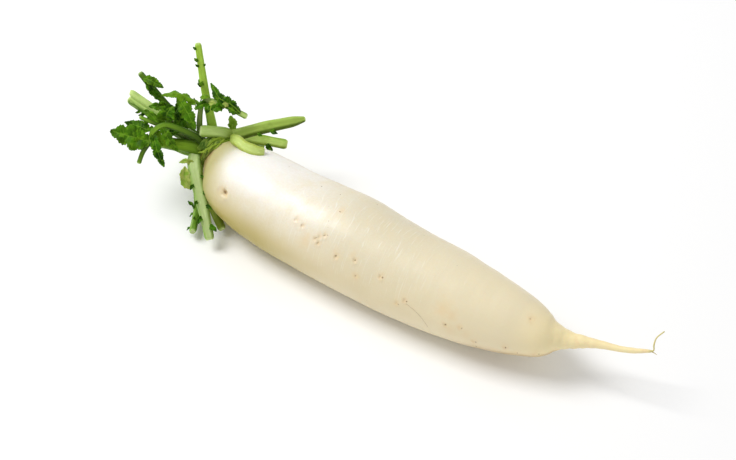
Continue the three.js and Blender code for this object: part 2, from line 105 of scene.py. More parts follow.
# Dents where side roots grew: x, degrees round from the top towards -Y, size across and depth.
SCARS = [
    (-99.9, 57, 3.4, 1.7), (-102.8, 56, 5.5, 0.5), (-32.8, 39, 2.2, 0.3), (-25.8, 42, 2.0, 0.5),
    (-11.7, 49, 2.0, 0.45), (-9.2, 45, 1.8, 0.35), (-8.2, 52, 1.9, 0.4), (-5.5, 41, 1.8, 0.35),
    (9.2, 57, 2.0, 0.45), (24.1, 50, 2.0, 0.5), (28.8, 67, 1.6, 0.25), (47.5, 53, 1.9, 0.5),
    (64.9, 77, 1.7, 0.3), (70.6, 68, 1.7, 0.35), (105.0, 79, 1.7, 0.35), (116.4, 75, 1.3, 0.2),
    (128.0, 95, 1.5, 0.3), (127.9, 110, 1.3, 0.2), (151.2, 91, 1.5, 0.3), (159.4, 105, 1.4, 0.3),
    (171.8, 103, 1.3, 0.3), (161.4, 15, 1.6, 0.25), (141.0, 128, 1.4, 0.3), (-3.6, 6, 1.2, 0.15),
]
SCAR_ROW_ROUND, SCAR_ROW_CROWDING = 62, 0.17  # the skin's points lie closer along their row
SCAR_LONG, SCAR_ACROSS = 0.85, 1.15  # shares of its size that a scar has along the root and round it
FAR_ROW_FROM, FAR_ROW_TO, FAR_ROW_COUNT = -95, 165, 17  # more of them in a row on the far side
FAR_ROW_ROUND = 238.0

# Brown spots: x, degrees round, half width and how dark.
SPOTS = [
    (-3.0, 39, 0.5, 0.8), (-7.3, 24, 0.6, 0.5), (-5.3, 31, 0.5, 0.4), (64.9, 77, 0.9, 0.9),
    (70.6, 68, 0.9, 1.0), (128.0, 95, 0.9, 1.0), (171.8, 103, 0.8, 0.9), (161.4, 15, 0.8, 0.4),
    (141.0, 128, 0.8, 0.8), (-13.5, -16, 0.65, 1.0), (11.3, -32, 0.8, 0.6), (42.3, -32, 0.5, 0.6),
    (56.9, -26, 0.6, 0.5), (94.1, -4, 0.5, 0.5), (40.0, 98, 0.5, 0.5), (-127.5, 73, 0.6, 0.8),
    (-67.9, -25, 0.6, 0.6), (-78.7, 83, 0.5, 0.5),
]
# Longer brown marks: x and degrees round at one end and at the other, half width and how dark.
MARKS = [
    (-101.5, 56, -98.9, 59, 1.1, 1.0), (-12.6, 50, -9.0, 45, 0.6, 0.5), (-8.9, 53, -7.6, 51, 0.6, 0.45),
    (-6.1, 42, -4.8, 40, 0.6, 0.5), (-25.8, 41, -25.4, 43, 0.7, 0.4), (-32.8, 39, -32.6, 41, 0.6, 0.25),
    (9.0, 57, 9.4, 56, 0.9, 0.75), (24.0, 50, 24.5, 49, 0.9, 0.85), (28.4, 68, 28.8, 66, 0.7, 0.5),
    (47.4, 53, 47.8, 52, 0.9, 0.9), (104.6, 80, 105.3, 78, 0.9, 1.0), (116.2, 76, 116.6, 74, 0.7, 0.6),
    (127.7, 107, 128.1, 113, 0.7, 0.8), (151.0, 93, 151.4, 90, 0.8, 0.95),
    (159.4, 106, 159.4, 104, 0.7, 0.9), (-30.7, -16, -30.4, -16, 0.7, 0.95),
    (-13.6, 1, -13.6, 2, 0.5, 0.5), (-4.2, 5, -3.2, 7, 0.6, 0.95),
]
# Pale streaks across the skin, in the same way as MARKS.
STREAKS = [
    (46.0, -2, 48.2, 24, 1.0, 0.4), (71.0, 4, 72.0, 24, 0.8, 0.3), (20.4, 2, 22.6, 15, 0.8, 0.35),
    (23.8, 24, 24.3, 34, 0.7, 0.3), (5.1, -3, 8.9, 17, 0.7, 0.25), (-10.9, -5, -8.0, 10, 0.8, 0.35),
    (9.0, 21, 9.8, 39, 0.7, 0.3), (26.2, -2, 27.4, 9, 0.7, 0.25), (35.0, 14, 35.0, 26, 0.7, 0.35),
    (61.1, 7, 62.3, 18, 0.7, 0.25), (106.3, 7, 106.9, 19, 0.7, 0.2), (-39.9, -3, -37.3, 10, 0.7, 0.3),
    (-23.8, -9, -20.6, 10, 0.7, 0.3),
]
MARK_CENTRE = (0.002, 0.036)  # metres: y and z of the line that the marks face away from
MARK_DEPTH = 0.0025  # metres: how far a mark reaches above and below the skin
# Tan patches: x, degrees round, size and strength.
TINTS = [
    (-32.8, 39, 4.0, 0.5), (-19.2, 54, 5.0, 0.55), (-13.5, 51, 4.0, 0.3), (7.4, 53, 4.0, 0.35),
    (22.6, 46, 4.0, 0.35), (101.2, 57, 6.0, 0.5), (108.6, 62, 4.0, 0.5), (109.5, 86, 6.0, 0.4),
    (121.7, 85, 5.0, 0.35),
]
# Fine hairs: one that lies on the skin, as x and degrees round, and one at the tail, as x, y, z, radius.
SKIN_HAIR, SKIN_HAIR_RADIUS = [(70.6, 71), (78, 76), (86, 84), (91.7, 96)], 0.13
TAIL_HAIR = [(246.5, 26.6, 45.4, 0.5), (249.8, 27.2, 44.6, 0.3), (252.2, 27.0, 44.2, 0.12)]
HAIR_SIDES, HAIR_STEP = 6, 0.4

# ---- the crown ----------------

CROWN_AXIS = (-0.911, 0.338, 0.239)
CROWN_RIBS, CROWN_RIB_DEPTH = 8, 0.06  # share of the radius
CROWN_PROFILE = [(-0.8, 14.4), (1.4, 16.0), (3.4, 15.8), (6.0, 13.6), (8.4, 9.6), (10.0, 4.0)]
CROWN_HEART = (-138.0, 18.5, 47.0)  # the point inside it that the stalks spread from
CROWN_RINGS, CROWN_SIDES = 60, 144
CROWN_WAVES = [(0.5, 5, 21), (0.25, 1.6, 22)]  # as SKIN_WAVES
SHEATHS, SHEATH_SIDES = 34, 20  # strips of old leaf bases round the collar
# Larger ones over the front of it: width, how light, how torn and the line, from CROWN_HEART.
FRONT_SHEATHS = [
    (2.2, 0.75, 0.0, [(9.2, 11.6, 9.3), (6, 4, 13.2), (2.6, -4.7, 14.5), (-0.1, -11.4, 10.9)]),
    (1.8, 0.95, 0.0, [(10.3, 8.1, 10.2), (7.3, -0.5, 14), (4.3, -9.2, 13.8), (1.7, -15.7, 8.3)]),
    (1.8, 0.6, 0.0, [(10.3, 4.7, 11), (7.7, -4.4, 14.3), (5.1, -11.9, 12.1), (2.2, -17.4, 4.3)]),
    (2.6, 0.4, 0.0, [(6.4, 8.9, 11.3), (0.2, 1.2, 12.5), (-3.3, -7.8, 11), (-7, -13.2, 6.2)]),
    (6.5, 0.1, 0.0, [(1.3, -0.4, 12.2), (-2.3, -7.6, 12), (-6, -13.1, 7.8)]),
    (5.0, 0.15, 0.0, [(5.3, 2.2, 12.2), (1.5, -6, 12.7), (-2.5, -12.4, 9.3)]),
    (1.5, 1.0, 0.0, [(4.3, -8.4, 14.3), (1.6, -14.5, 11.2), (-4.2, -17.6, 8.4)]),
    (1.8, 0.3, 0.2, [(1.3, -14.2, 9.6), (0.1, -17.6, 3.8), (1.5, -19.7, -2.9)]),
    (1.8, 0.2, 0.9, [(-1.1, -13.8, 9), (-2.1, -17.1, 3.2), (-0.4, -19.4, -3.1)]),
    (1.2, 1.0, 0.0, [(7.8, 1.7, 14.6), (7.2, -7.7, 14.1), (6.6, -11.3, 11.9)]),
    (1.2, 0.9, 0.0, [(6.9, -3.8, 15.1), (3.9, -10.6, 14.3), (2.9, -14.4, 10.7)]),
    (1.6, 0.5, 0.0, [(9.9, 9.3, 10), (6.9, 1.5, 13.6), (3.4, -7.2, 14.3), (1.1, -14, 9.9)]),
    (1.4, 0.3, 0.0, [(8.1, 3.9, 13.4), (4.5, -4.6, 15), (1.7, -11.8, 11.8)]),
    (1.2, 0.9, 0.0, [(3.8, 3, 12.8), (0.9, -3.8, 13.9), (-1.5, -10.1, 11.8)]),
    (1.4, 0.2, 0.6, [(5.5, -11.7, 12.7), (2.8, -15.8, 8.5), (2.2, -18.4, 2.3)]),
    (1.0, 0.8, 0.0, [(3.2, -11, 13.6), (0, -15.3, 8.7), (-1.4, -18.1, 2.2)]),
]

# ---- stalks and leaves ----------------

FRONT = (0.4, -0.54, 0.74)
UP = (0, 0, 1)
LOW_FRONT = (0.3, -0.85, 0.4)
LEFT = (-0.7, -0.5, 0.5)


@dataclass
class Blade:
    """A toothed leaf blade. Its line is its midrib, `teeth` the lobes on a side, `young` how light and
    yellow it is and `fold` the degrees that its halves fold up by. `facing` is the way it looks."""

    line: list
    half_width: float
    teeth: int
    young: float = 0.0
    fold: float = 18
    facing: tuple = FRONT


@dataclass
class Stalk:
    """A leaf stalk with what grows on it. Its line runs outwards through x, y, z, width, and `facing`
    is the way its channel looks. `depth` is its thickness, `groove` the channel's depth and `channel`
    its width, as shares of the stalk's width. `slant` is how many mm more its cut end loses on one
    side than on the other, and `notch` how deep the channel cuts into that end.

    `core` and `edge` are the colours of its middle and its sides, `base` of its foot as far as
    `base_reach` and `pith` of its cut. `pale_side` makes the side of its sign pale and the other
    greener. `scraps` are torn bits of leaf: how far along it, on which side and how long. `branches`
    are side stalks and `curls` the lines of thin curled strips."""

    line: list
    core: tuple = ()
    edge: tuple = ()
    # the foot's colour is painted shade on stalk_wide and leaf_arched, and partly painted light on
    # stalk_long
    base: tuple = (0.30, 0.40, 0.05)
    pith: tuple = (0.50, 0.60, 0.27)
    base_reach: float = 16
    pale_side: float = 0
    depth: float = 0.8
    groove: float = 0.1
    channel: float = 0.25
    slant: float = 0
    notch: float = 0
    facing: tuple = FRONT
    scraps: tuple = ()
    blades: tuple = ()
    branches: tuple = ()
    curls: tuple = ()


# One entry for each stalk or leaf of the CAD, with the same lines, from CROWN_HEART.
STALKS = {
    "stalk_stub": Stalk(
        [(7.1, 10.4, 8.1, 11), (3, 5.8, 14.5, 10), (-10.6, -4.5, 18.6, 9.4)],
        core=(0.42, 0.56, 0.17), edge=(0.27, 0.42, 0.06),
    ),
    "stalk_hooked": Stalk(
        [
            (5, 12.8, 2.9, 8.4), (21.9, 0.9, 20.8, 8.8), (30.5, -2.7, 23.5, 9.2), (37.2, -3.3, 24.3, 9),
            (43, -2.3, 24.3, 8.6), (47.2, 0.6, 23.2, 7.4),
        ],
        core=(0.51, 0.63, 0.18), edge=(0.36, 0.44, 0.06), pith=(0.5, 0.52, 0.22),
    ),
    "stalk_thick": Stalk(
        [
            (-4.5, -7.2, 0.9, 13), (-15.1, -13.5, 5.4, 10.8), (-29.9, -20, 6.6, 9.6),
            (-43.6, -24.2, 5.2, 8.6),
        ],
        core=(0.23, 0.41, 0.015), edge=(0.11, 0.22, 0.007), base=(0.06, 0.13, 0.003), base_reach=24,
    ),
    "stalk_down_front": Stalk(
        [
            (-8.6, -6.1, -4.3, 9), (-9.6, -14.9, -0.3, 10.6), (-1.8, -26.4, -1.4, 10.6),
            (8.3, -35.9, -10.8, 9.4), (18.2, -44.4, -21.3, 8.6), (31.6, -56.5, -35.9, 7.2),
        ],
        core=(0.45, 0.57, 0.23), edge=(0.24, 0.39, 0.07), base=(0.26, 0.36, 0.08),
        scraps=[
            (0.48, -1, 4), (0.55, 1, 5), (0.63, -1, 6), (0.71, 1, 5), (0.77, -1, 6), (0.85, 1, 7),
            (0.92, -1, 8),
        ],
        blades=[
            Blade([(-3.8, -23.2, -0.4), (-8.7, -26.6, 4.7), (-13.6, -30.8, 3.9)], 2.6, 2, young=2.0),
            Blade([(3, -35.9, -11.1), (-3.4, -36.5, -4.7), (-8.3, -30.3, 1.9)], 5.4, 2, young=2.2),
        ],
    ),
    "stalk_long": Stalk(
        [
            (3.8, 9.2, 4.8, 12), (12.5, 14, 10.8, 10), (28.1, 25.4, 17.1, 9.4), (45.4, 39.8, 20.8, 9),
            (54.3, 47.8, 22.4, 4.4),
        ],
        # its pale yellow-green foot is partly painted light over the shade there
        core=(0.33, 0.47, 0.08), edge=(0.09, 0.155, 0.009), base=(0.46, 0.58, 0.15), base_reach=26,
        pale_side=-0.4, scraps=[(0.46, 1, 5), (0.58, 1, 7)],
    ),
    "stalk_tall": Stalk(
        [(-3.3, 2, -1, 8.6), (-9.4, 9.2, 14.7, 7.8), (-20.3, 17.9, 40.1, 6.2), (-32.7, 29.6, 74.9, 5.4)],
        core=(0.39, 0.61, 0.065), edge=(0.33, 0.54, 0.04),
        scraps=[(0.97, -1, 4), (0.89, -1, 5), (0.85, -1, 4), (0.85, 1, 3), (0.71, -1, 5)],
        blades=[
            Blade([(-26.8, 20, 46.2), (-23, 17, 47.2), (-20.2, 17, 46)], 2.2, 2, young=0.5),
        ],
    ),
    "stalk_wide": Stalk(
        [
            (-7.6, -3, -1.3, 13), (-25.2, -6.1, 7, 12), (-46.6, -9.3, 18.3, 11.6),
            (-73.6, -13.9, 32.8, 12.2),
        ],
        # painted shade: its foot, in the shade between the stalks, is dark as far as base_reach
        core=(0.58, 0.76, 0.24), edge=(0.1, 0.22, 0.01), base=(0.03, 0.07, 0.003), base_reach=50,
        pale_side=1, depth=0.6, groove=0.24, channel=0.13, slant=3, notch=1.6, facing=(0.46, -0.73, 0.5),
        scraps=[(0.8, -1, 5), (0.84, -1, 4)],
    ),
    "leaf_arched": Stalk(
        [
            (-4.5, -6.7, 5.1, 6.2), (-11.4, -9.5, 15.4, 5.4), (-22.3, -15, 22.9, 5),
            (-33, -21.3, 27.2, 4.8), (-38.6, -28.8, 23.1, 4.6), (-38.2, -34.2, 16.5, 3.6),
        ],
        # painted shadow: its foot is dark as far as base_reach
        core=(0.18, 0.34, 0.018), edge=(0.07, 0.16, 0.008), base=(0.01, 0.03, 0.001), base_reach=46,
        blades=[
            Blade([(-38.6, -33.7, 17), (-52.2, -39.9, 20.1), (-68.8, -44.6, 21.6)], 9.8, 4, young=0.2),
            Blade([(-39.2, -32.7, 18.1), (-44.4, -39.2, 15.8), (-50.9, -45.7, 11.5)], 6, 3, young=0.7),
            Blade([(-39.3, -27.8, 22.9), (-51.5, -29, 21), (-63.6, -32.8, 23.8)],
                  6.4, 4, young=0.1, facing=UP),
            Blade([(-38.2, -29.3, 22.6), (-29.1, -37.3, 15.4), (-20.3, -41.5, 4.6)], 5, 4, fold=28),
            Blade([(-33.7, -23, 26.4), (-25.1, -26.9, 21), (-16.5, -27.1, 11.7)],
                  4.6, 4, young=0.3, fold=28),
            Blade([(-37.8, -22.6, 27.6), (-46.2, -21, 32), (-53.2, -21.5, 32.5)], 3.2, 3, young=0.3),
            Blade([(-38.4, -26.7, 24), (-35.1, -27.5, 19.2), (-29.6, -29.2, 12.3)], 4, 3, young=1.1),
        ],
        branches=[
            Stalk([(-38.4, -33.4, 15.4, 3), (-42.4, -39.2, 7, 3.6), (-41.6, -46.7, 1.4, 3.8)],
                  facing=LOW_FRONT),
            Stalk([(-35.2, -22.4, 26.1, 2.4), (-43.1, -25.2, 29, 3.2), (-52.1, -26.7, 30.7, 3)]),
        ],
    ),
    "leaf_cluster": Stalk(
        [
            (-8.4, -1.9, -1.5, 5.5), (-18.1, -6.5, 8.8, 4.6), (-28.2, -10.4, 17.1, 4.2),
            (-37.1, -12.1, 23.8, 3.8), (-40.2, -5.5, 31.2, 2.4),
        ],
        core=(0.12, 0.24, 0.012), edge=(0.07, 0.16, 0.008),
        blades=[
            Blade([(-37, -13.8, 23.6), (-35.8, -12.6, 31.5), (-34.2, -6.8, 36.5)],
                  7.8, 4, young=0.05, fold=8),
            Blade([(-29, -10.6, 17.6), (-28, -5.6, 25.6), (-29.2, 0.8, 30.7)], 5, 3, facing=LOW_FRONT),
            Blade([(-22.5, -8, 12.6), (-26.4, -8.7, 18.8), (-33.9, -4.6, 22.5)],
                  4.6, 3, young=0.3, facing=UP),
            Blade([(-34.9, -11.7, 22.1), (-35.2, -2.6, 24.5), (-36.7, 5.4, 28.2)], 5, 3, facing=UP),
            Blade([(-27.6, -10, 16.6), (-28.5, -16.7, 16.7), (-33.5, -19.2, 17.2)], 4.6, 3, facing=UP),
            Blade([(-36.9, -15, 24.3), (-41, -19.5, 28.2), (-48.5, -22.7, 28)], 5.2, 3, young=0.4),
            Blade([(-39.9, -6, 30.7), (-45.3, -10.4, 32.6), (-52.3, -14.4, 31.7)], 4, 3, young=0.2),
        ],
    ),
    "leaf_heart": Stalk(
        [
            (-7.7, -2.5, 1.7, 5), (-14.3, -0.5, 11.3, 4.8), (-16.2, 4.6, 28.9, 4.2),
            (-14.8, 8.6, 37.6, 3.8), (-7.6, 12.3, 39.5, 3.8), (3.7, 15.2, 36.5, 4.2),
            (18.2, 19.2, 30.2, 5),
        ],
        core=(0.48, 0.64, 0.18), edge=(0.16, 0.3, 0.02), base=(0.05, 0.11, 0.003), base_reach=80,
        blades=[
            Blade([(-33.8, 0.1, 40.1), (-22.4, -4.2, 33.2), (-12.4, -8, 22.2)], 5.8, 4, young=0.25),
            Blade([(-18.1, 6.8, 35.1), (-27.7, 3.8, 40), (-37.3, -0.1, 42.9), (-45.6, -5.6, 41.4)],
                  5.2, 4, young=0.9, fold=-25, facing=UP),
            Blade([(13.4, 17.4, 33.7), (7, 15, 41.4), (-2.3, 12.9, 45.4), (-13.7, 18, 51.5)],
                  5.4, 5, fold=-24),
            Blade([(13.3, 17.5, 32.5), (10.3, 12.8, 38.4), (4, 12.4, 40.9)], 4.2, 3, fold=-30),
            Blade([(0.8, 13.7, 36.7), (-1.3, 7.5, 39.9), (-5.1, 4.5, 38.1)], 4, 3),
            Blade([(-18, 7.5, 35.6), (-14.8, 8.5, 42.8), (-10.5, 11.3, 42.8)],
                  2, 2, young=1, facing=LEFT),
            Blade([(-11.2, 7.8, 39.2), (-13.2, 2.6, 40.4), (-16.6, -0.4, 37.2)], 3.2, 3),
            Blade([(-9.8, 8.6, 39.2), (-5.4, 8.6, 41.2), (-2.7, 8.7, 38.7)], 2.4, 2, young=2.1),
            Blade([(-11.9, 7.4, 38), (-7.9, 3.8, 38.9), (-7.2, 1.1, 35.4)], 3, 2),
            Blade([(1.6, 11.4, 38.7), (3.8, 12.1, 42.1), (5.7, 12.7, 40.4)], 2, 2, young=2.1),
        ],
        curls=[
            [(-18.6, 9.1, 39.7, 1.3), (-17.3, 10.6, 41.4, 1.3), (-14.6, 11.8, 42.2, 1.3),
             (-13.1, 12.9, 40, 1.3), (-12.5, 10.9, 39.5, 0.65)],
            [(-18.2, 0.2, 35.7, 1.1), (-17.1, 4.1, 35.5, 1.1), (-14.3, 7.7, 38, 1.1),
             (-10.7, 10.9, 39.8, 1.1), (-9.2, 11.6, 37.3, 0.55)],
            [(-17.9, 0.3, 34.4, 1), (-14.3, 2.7, 35.7, 1), (-13.5, 7.2, 36.1, 1), (-13.5, 9, 38.6, 0.5)],
            [(-9.9, 4.1, 32.3, 1.1), (-9.3, 6.7, 35, 1.1), (-10.8, 8.3, 38, 1.1),
             (-14.3, 10.1, 38.5, 0.55)],
            [(-22.1, 5.4, 41, 0.9), (-20.4, 5.3, 37.9, 0.9), (-18.7, 2.3, 36.2, 0.9),
             (-15.9, 0.9, 35.1, 0.45)],
        ],
    ),
    "leaf_upright": Stalk(
        [(-11.6, 0.8, -4.7, 7), (-31.6, 2.5, 6.9, 6.4), (-49.7, 2.1, 22.6, 5.6), (-71.6, 1.6, 45.2, 4.6)],
        core=(0.11, 0.22, 0.012), edge=(0.05, 0.13, 0.006),
        blades=[
            Blade([(-68.2, 1.4, 42), (-59.7, 1.2, 43), (-49.6, 2.3, 39.7)], 4, 3, young=0.3),
            Blade([(-52.4, 1.6, 25.4), (-58.6, -1.5, 34.5), (-66, 0.4, 40.5)], 3.6, 4, fold=30),
        ],
    ),
    "leaf_small": Stalk(
        [(5.2, 12.5, 2.6, 3.2), (4.7, 16.4, 8.2, 2.6), (3.6, 19.2, 13.3, 1.8)],
        core=(0.28, 0.44, 0.05), edge=(0.16, 0.3, 0.02),
        blades=[
            Blade([(4.7, 16.4, 8.2), (3.6, 19.2, 13.3), (0.8, 21.1, 19.8)], 4.4, 2, young=1.6, fold=8),
        ],
    ),
    "stalk_down_back": Stalk(
        [
            (-3.3, -6.8, -5.9, 9), (-2.4, -15.6, -12.6, 8.2), (12.3, -27.2, -31.3, 7.6),
            (32, -40.6, -39, 7.2),
        ],
        core=(0.2, 0.27, 0.02), edge=(0.12, 0.18, 0.012), facing=LOW_FRONT,
    ),
    "stalk_down_side": Stalk(
        [
            (-7.6, -5.5, -10.9, 7.6), (-9.3, -15.2, -19.6, 7.6), (2.6, -33.2, -36.4, 7.4),
            (14.2, -56, -38, 7.2),
        ],
        core=(0.2, 0.36, 0.03), edge=(0.1, 0.21, 0.014), facing=LEFT,
        scraps=[(0.75, 1, 4), (0.85, -1, 4), (0.93, 1, 4)],
        blades=[
            Blade([(5.4, -36.5, -39), (0.2, -35.5, -34.4), (-4.5, -35.6, -32.3)], 2.4, 2, facing=LEFT),
            Blade([(2.1, -32.8, -35.9), (9.5, -36.3, -36.5), (14.6, -41.8, -39)],
                  2.8, 3, facing=LOW_FRONT),
        ],
    ),
    "stalk_far_low": Stalk(
        [(-1.2, 4.3, -4.2, 9), (-0.3, 19, -11.2, 8.4), (0.4, 27.9, -27.5, 7.8), (1.5, 30.7, -40, 7)],
        core=(0.38, 0.52, 0.12), edge=(0.2, 0.33, 0.04), facing=LEFT,
    ),
    "stalk_far_left": Stalk(
        [
            (-6.7, -2.1, -6.3, 8), (-21.1, -7.3, -10, 7.4), (-36, -7.5, -12.6, 6.8),
            (-51.7, -7.3, -17.1, 6),
        ],
        core=(0.3, 0.44, 0.07), edge=(0.15, 0.27, 0.02), facing=UP,
    ),
    "stalk_far_right": Stalk(
        [(1.3, 11.9, -2.6, 9), (4.6, 26, -12.4, 8.4), (7.8, 37.7, -21.3, 7.8), (11.5, 45.9, -32.7, 7)],
        core=(0.36, 0.5, 0.1), edge=(0.18, 0.31, 0.03), facing=UP,
    ),
    "stalk_short": Stalk(
        [(3.1, 16.7, 0, 8.6), (12.7, 23.7, -2, 8.6), (25.2, 32.2, -5.5, 8.4), (40, 41.2, -9.8, 8)],
        core=(0.62, 0.84, 0.22), edge=(0.24, 0.4, 0.025), base=(0.1, 0.2, 0.01), scraps=[(0.71, 1, 8)],
    ),
}
STALK_SIDES, STALK_STEP = 60, 0.6  # mm between rings
STALK_RIDGES = [(0.022, 13, 1), (0.012, 7, 2)]  # share of its width, how many, turned by how many seeds
STALK_SWELL, STALK_SWELL_SIZE = 0.05, 9  # share of its width, and mm along it
STALK_LUMP, STALK_LUMP_SIZE = 0.12, 4  # mm
STALK_GRAIN = 25  # mm along a stalk that count as one in its grain's noise
END_NARROWS, END_ROUNDING = 0.2, 0.25  # shares of its width: how much it narrows at its cut, over how far
# The rings of a cut end: mm out, share of the width and how much is pith.
CUT_FACE = [
    (0.25, 0.985, 0), (0.42, 0.93, 0), (0.45, 0.84, 0.3), (0.25, 0.6, 0.7), (0.05, 0.35, 1), (0, 0.12, 1),
]
CUT_ROUGHNESS = 0.18

BLADE_COLUMNS, BLADE_STEP = 11, 0.22  # points from midrib to margin, mm between rings
BLADE_THICKNESS = 0.5
BLADE_START, BLADE_SPAN, BLADE_SKEW, BLADE_FULLNESS = 0.05, 0.93, 0.9, 0.75  # of its outline
LOBE_SHIFT = 0.22  # of a lobe, so that those of the two sides aren't opposite
LOBE_ROUNDNESS = 0.6  # below 1, so that they are full
FINE_TEETH = 3.6  # in a lobe
# Half width of a blade, as shares: its core, a lobe, a fine tooth and chance.
REACH_CORE, REACH_LOBE, REACH_TOOTH, REACH_CHANCE = 0.57, 0.34, 0.15, 0.12
PUCKER, RUFFLE = 0.09, 0.2  # shares of the half width: between the veins, and at the margin
# Scraps, as in the CAD: the start in shares of the stalk's width, the rest in shares of its own length.
SCRAP_START_ACROSS, SCRAP_START_UP = 0.3, 0.2
SCRAP_OUT, SCRAP_RISE, SCRAP_FORWARD, SCRAP_BEND, SCRAP_HALF_WIDTH = 0.35, 0.3, 0.6, 0.15, 0.36

# ---- curves, noise and meshes ----------------


def unit(vectors):
    return vectors / np.linalg.norm(vectors, axis=-1, keepdims=True)


def smooth_step(value, start, end):
    """0 up to start, 1 from end on and an eased rise between them. Start may be the larger one."""
    t = np.clip((value - start) / (end - start), 0, 1)
    return t * t * (3 - 2 * t)


def circle(sides):
    """The angles of a ring's points."""
    return np.linspace(0, 2 * np.pi, sides, endpoint=False)


def along(rows, t):
    """The rows at each t, from 0 to 1, of a Catmull-Rom curve through rows of numbers."""
    rows = np.asarray(rows, float)
    padded = np.vstack([2 * rows[0] - rows[1], rows, 2 * rows[-1] - rows[-2]])
    last = len(rows) - 1
    place = np.clip(t, 0, 1) * last
    i = np.minimum(place.astype(int), last - 1)
    u = (place - i)[:, None]
    a, b, c, d = (padded[i + k] for k in range(4))
    return b + 0.5 * u * (c - a + u * (2 * a - 5 * b + 4 * c - d + u * (3 * b - a - 3 * c + d)))


def frames(rows, t, facing):
    """Along a line: the points, the columns past x, y, z, the way it runs, and the two ways across."""
    nearby = 0.001
    here = along(rows, t)
    forward = unit(along(rows, t + nearby)[:, :3] - along(rows, t - nearby)[:, :3])
    side = unit(np.cross(forward, facing))
    return here[:, :3], here[:, 3:], forward, side, np.cross(side, forward)


def spokes(first, second, turn):
    """The directions at these angles, from the first direction towards the second."""
    return first * np.cos(turn)[:, None] + second * np.sin(turn)[:, None]


def lengths(rows):
    """How far along a line each of its rows is."""
    return np.concatenate([[0], np.cumsum(np.linalg.norm(np.diff(rows, axis=0), axis=1))])


def even_steps(rows, step, least=8):
    """Values of t that walk a line in steps of about that many mm, and how long it is."""
    t = np.linspace(0, 1, 400)
    length = lengths(along(rows, t)[:, :3])
    count = max(least, int(round(length[-1] / step))) + 1
    return np.interp(np.linspace(0, length[-1], count), length, t), length[-1]


def from_heart(rows):
    """Rows written from CROWN_HEART, in the part's frame."""
    rows = np.array(rows, float)
    rows[:, :3] += CROWN_HEART
    return rows


def ring_points(centre, side, up, width, turn, depth, groove, channel=Stalk.channel, ridges=0.0):
    """Points of a stalk's rings: round below, with a channel along the side that it faces."""
    across = width / 2 * np.sin(turn)
    dip = np.where(np.cos(turn) < 0, np.exp(-((across / (channel * width)) ** 2)), 0)
    high = -depth * width / 2 * np.cos(turn) - groove * width * dip
    swell = 1 + ridges * (np.cos(turn) > -0.4)  # no ridges in the channel
    return (centre[:, None] + side[:, None] * (across * swell)[..., None]
            + up[:, None] * (high * swell)[..., None])


def hashed(cells, seed):
    """A number from -1 to 1 for each whole-numbered cell."""
    mixed = (cells * np.array([73856093, 19349663, 83492791])).sum(-1) + seed * 2654435761
    mixed = ((mixed ^ (mixed >> 13)) * 1274126177) & 0xFFFFFFFF
    return ((mixed ^ (mixed >> 16)) & 0xFFFF) / 32767.5 - 1


def noise(points, size, seed):
    """Smooth noise from -1 to 1 at points, with lumps of about that size."""
    scaled = np.asarray(points, float) / size
    cell = np.floor(scaled).astype(np.int64)
    part = scaled - cell
    ease = part * part * (3 - 2 * part)
    total = np.zeros(scaled.shape[:-1])
    for corner in np.ndindex(2, 2, 2):
        weight = np.where(corner, ease, 1 - ease).prod(-1)
        total += hashed(cell + corner, seed) * weight
    return total


def line_noise(values, size, seed):
    """The same along a line of values."""
    return noise(np.stack([values, np.zeros_like(values), np.zeros_like(values)], -1), size, seed)


def waves(points, rows):
    """The sum of noises of several heights, sizes and seeds."""
    return sum(height * noise(points, size, seed) for height, size, seed in rows)


class Piece:
    """A mesh gathered from closed grids of points. Its values are numbers at points for materials."""

    def __init__(self, name, *values):
        self.name = name
        self.points, self.faces, self.slots = [], [], []
        self.values = {value: [] for value in values}
        self.count = 0

    def grid(self, points, slot=0, **values):
        """Adds a closed body: rings of points in rows, with each end closed by a point in its middle."""
        rows, columns = points.shape[:2]
        number = self.count + np.arange(rows * columns).reshape(rows, columns)
        right = np.roll(number, -1, axis=1)
        quads = np.stack([number[:-1], right[:-1], right[1:], number[1:]], -1).reshape(-1, 4)
        first, last = self.count + rows * columns, self.count + rows * columns + 1
        starts = np.stack([right[0], number[0], np.full(columns, first)], -1)
        ends = np.stack([number[-1], right[-1], np.full(columns, last)], -1)
        middles = np.stack([points[0].mean(0), points[-1].mean(0)])
        everything = np.vstack([points.reshape(-1, 3), middles])
        a, b, c, d = (everything[quads[:, k] - self.count] for k in range(4))
        outward = (np.cross(c - a, d - b) * (a + b + c + d)).sum() > 0
        for faces in (quads, starts, ends):
            self.faces += (faces if outward else faces[:, ::-1]).tolist()
            self.slots += [slot] * len(faces)
        self.points.append(everything)
        for name, kept in self.values.items():
            value = np.broadcast_to(np.asarray(values.get(name, 0.0), float), (rows, columns))
            kept.append(np.concatenate([value.ravel(), [value[0].mean(), value[-1].mean()]]))
        self.count += rows * columns + 2

    def make(self, materials, node):
        """Makes the object in metres, which stands for this CAD node."""
        mesh = bpy.data.meshes.new(self.name)
        mesh.from_pydata((np.vstack(self.points) * MM).tolist(), [], self.faces)
        for name, value in self.values.items():
            layer = mesh.attributes.new(name, "FLOAT", "POINT")
            layer.data.foreach_set("value", np.concatenate(value).astype(np.float32))
        for material in materials:
            mesh.materials.append(material)
        mesh.polygons.foreach_set("material_index", self.slots)
        mesh.shade_smooth()
        piece = bpy.data.objects.new(self.name, mesh)
        bpy.context.scene.collection.objects.link(piece)
        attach(piece, "root")
        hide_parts(node)


# ---- materials ----------------
# Noise scales are lumps to a metre. Places and the distances of bumps are in metres.


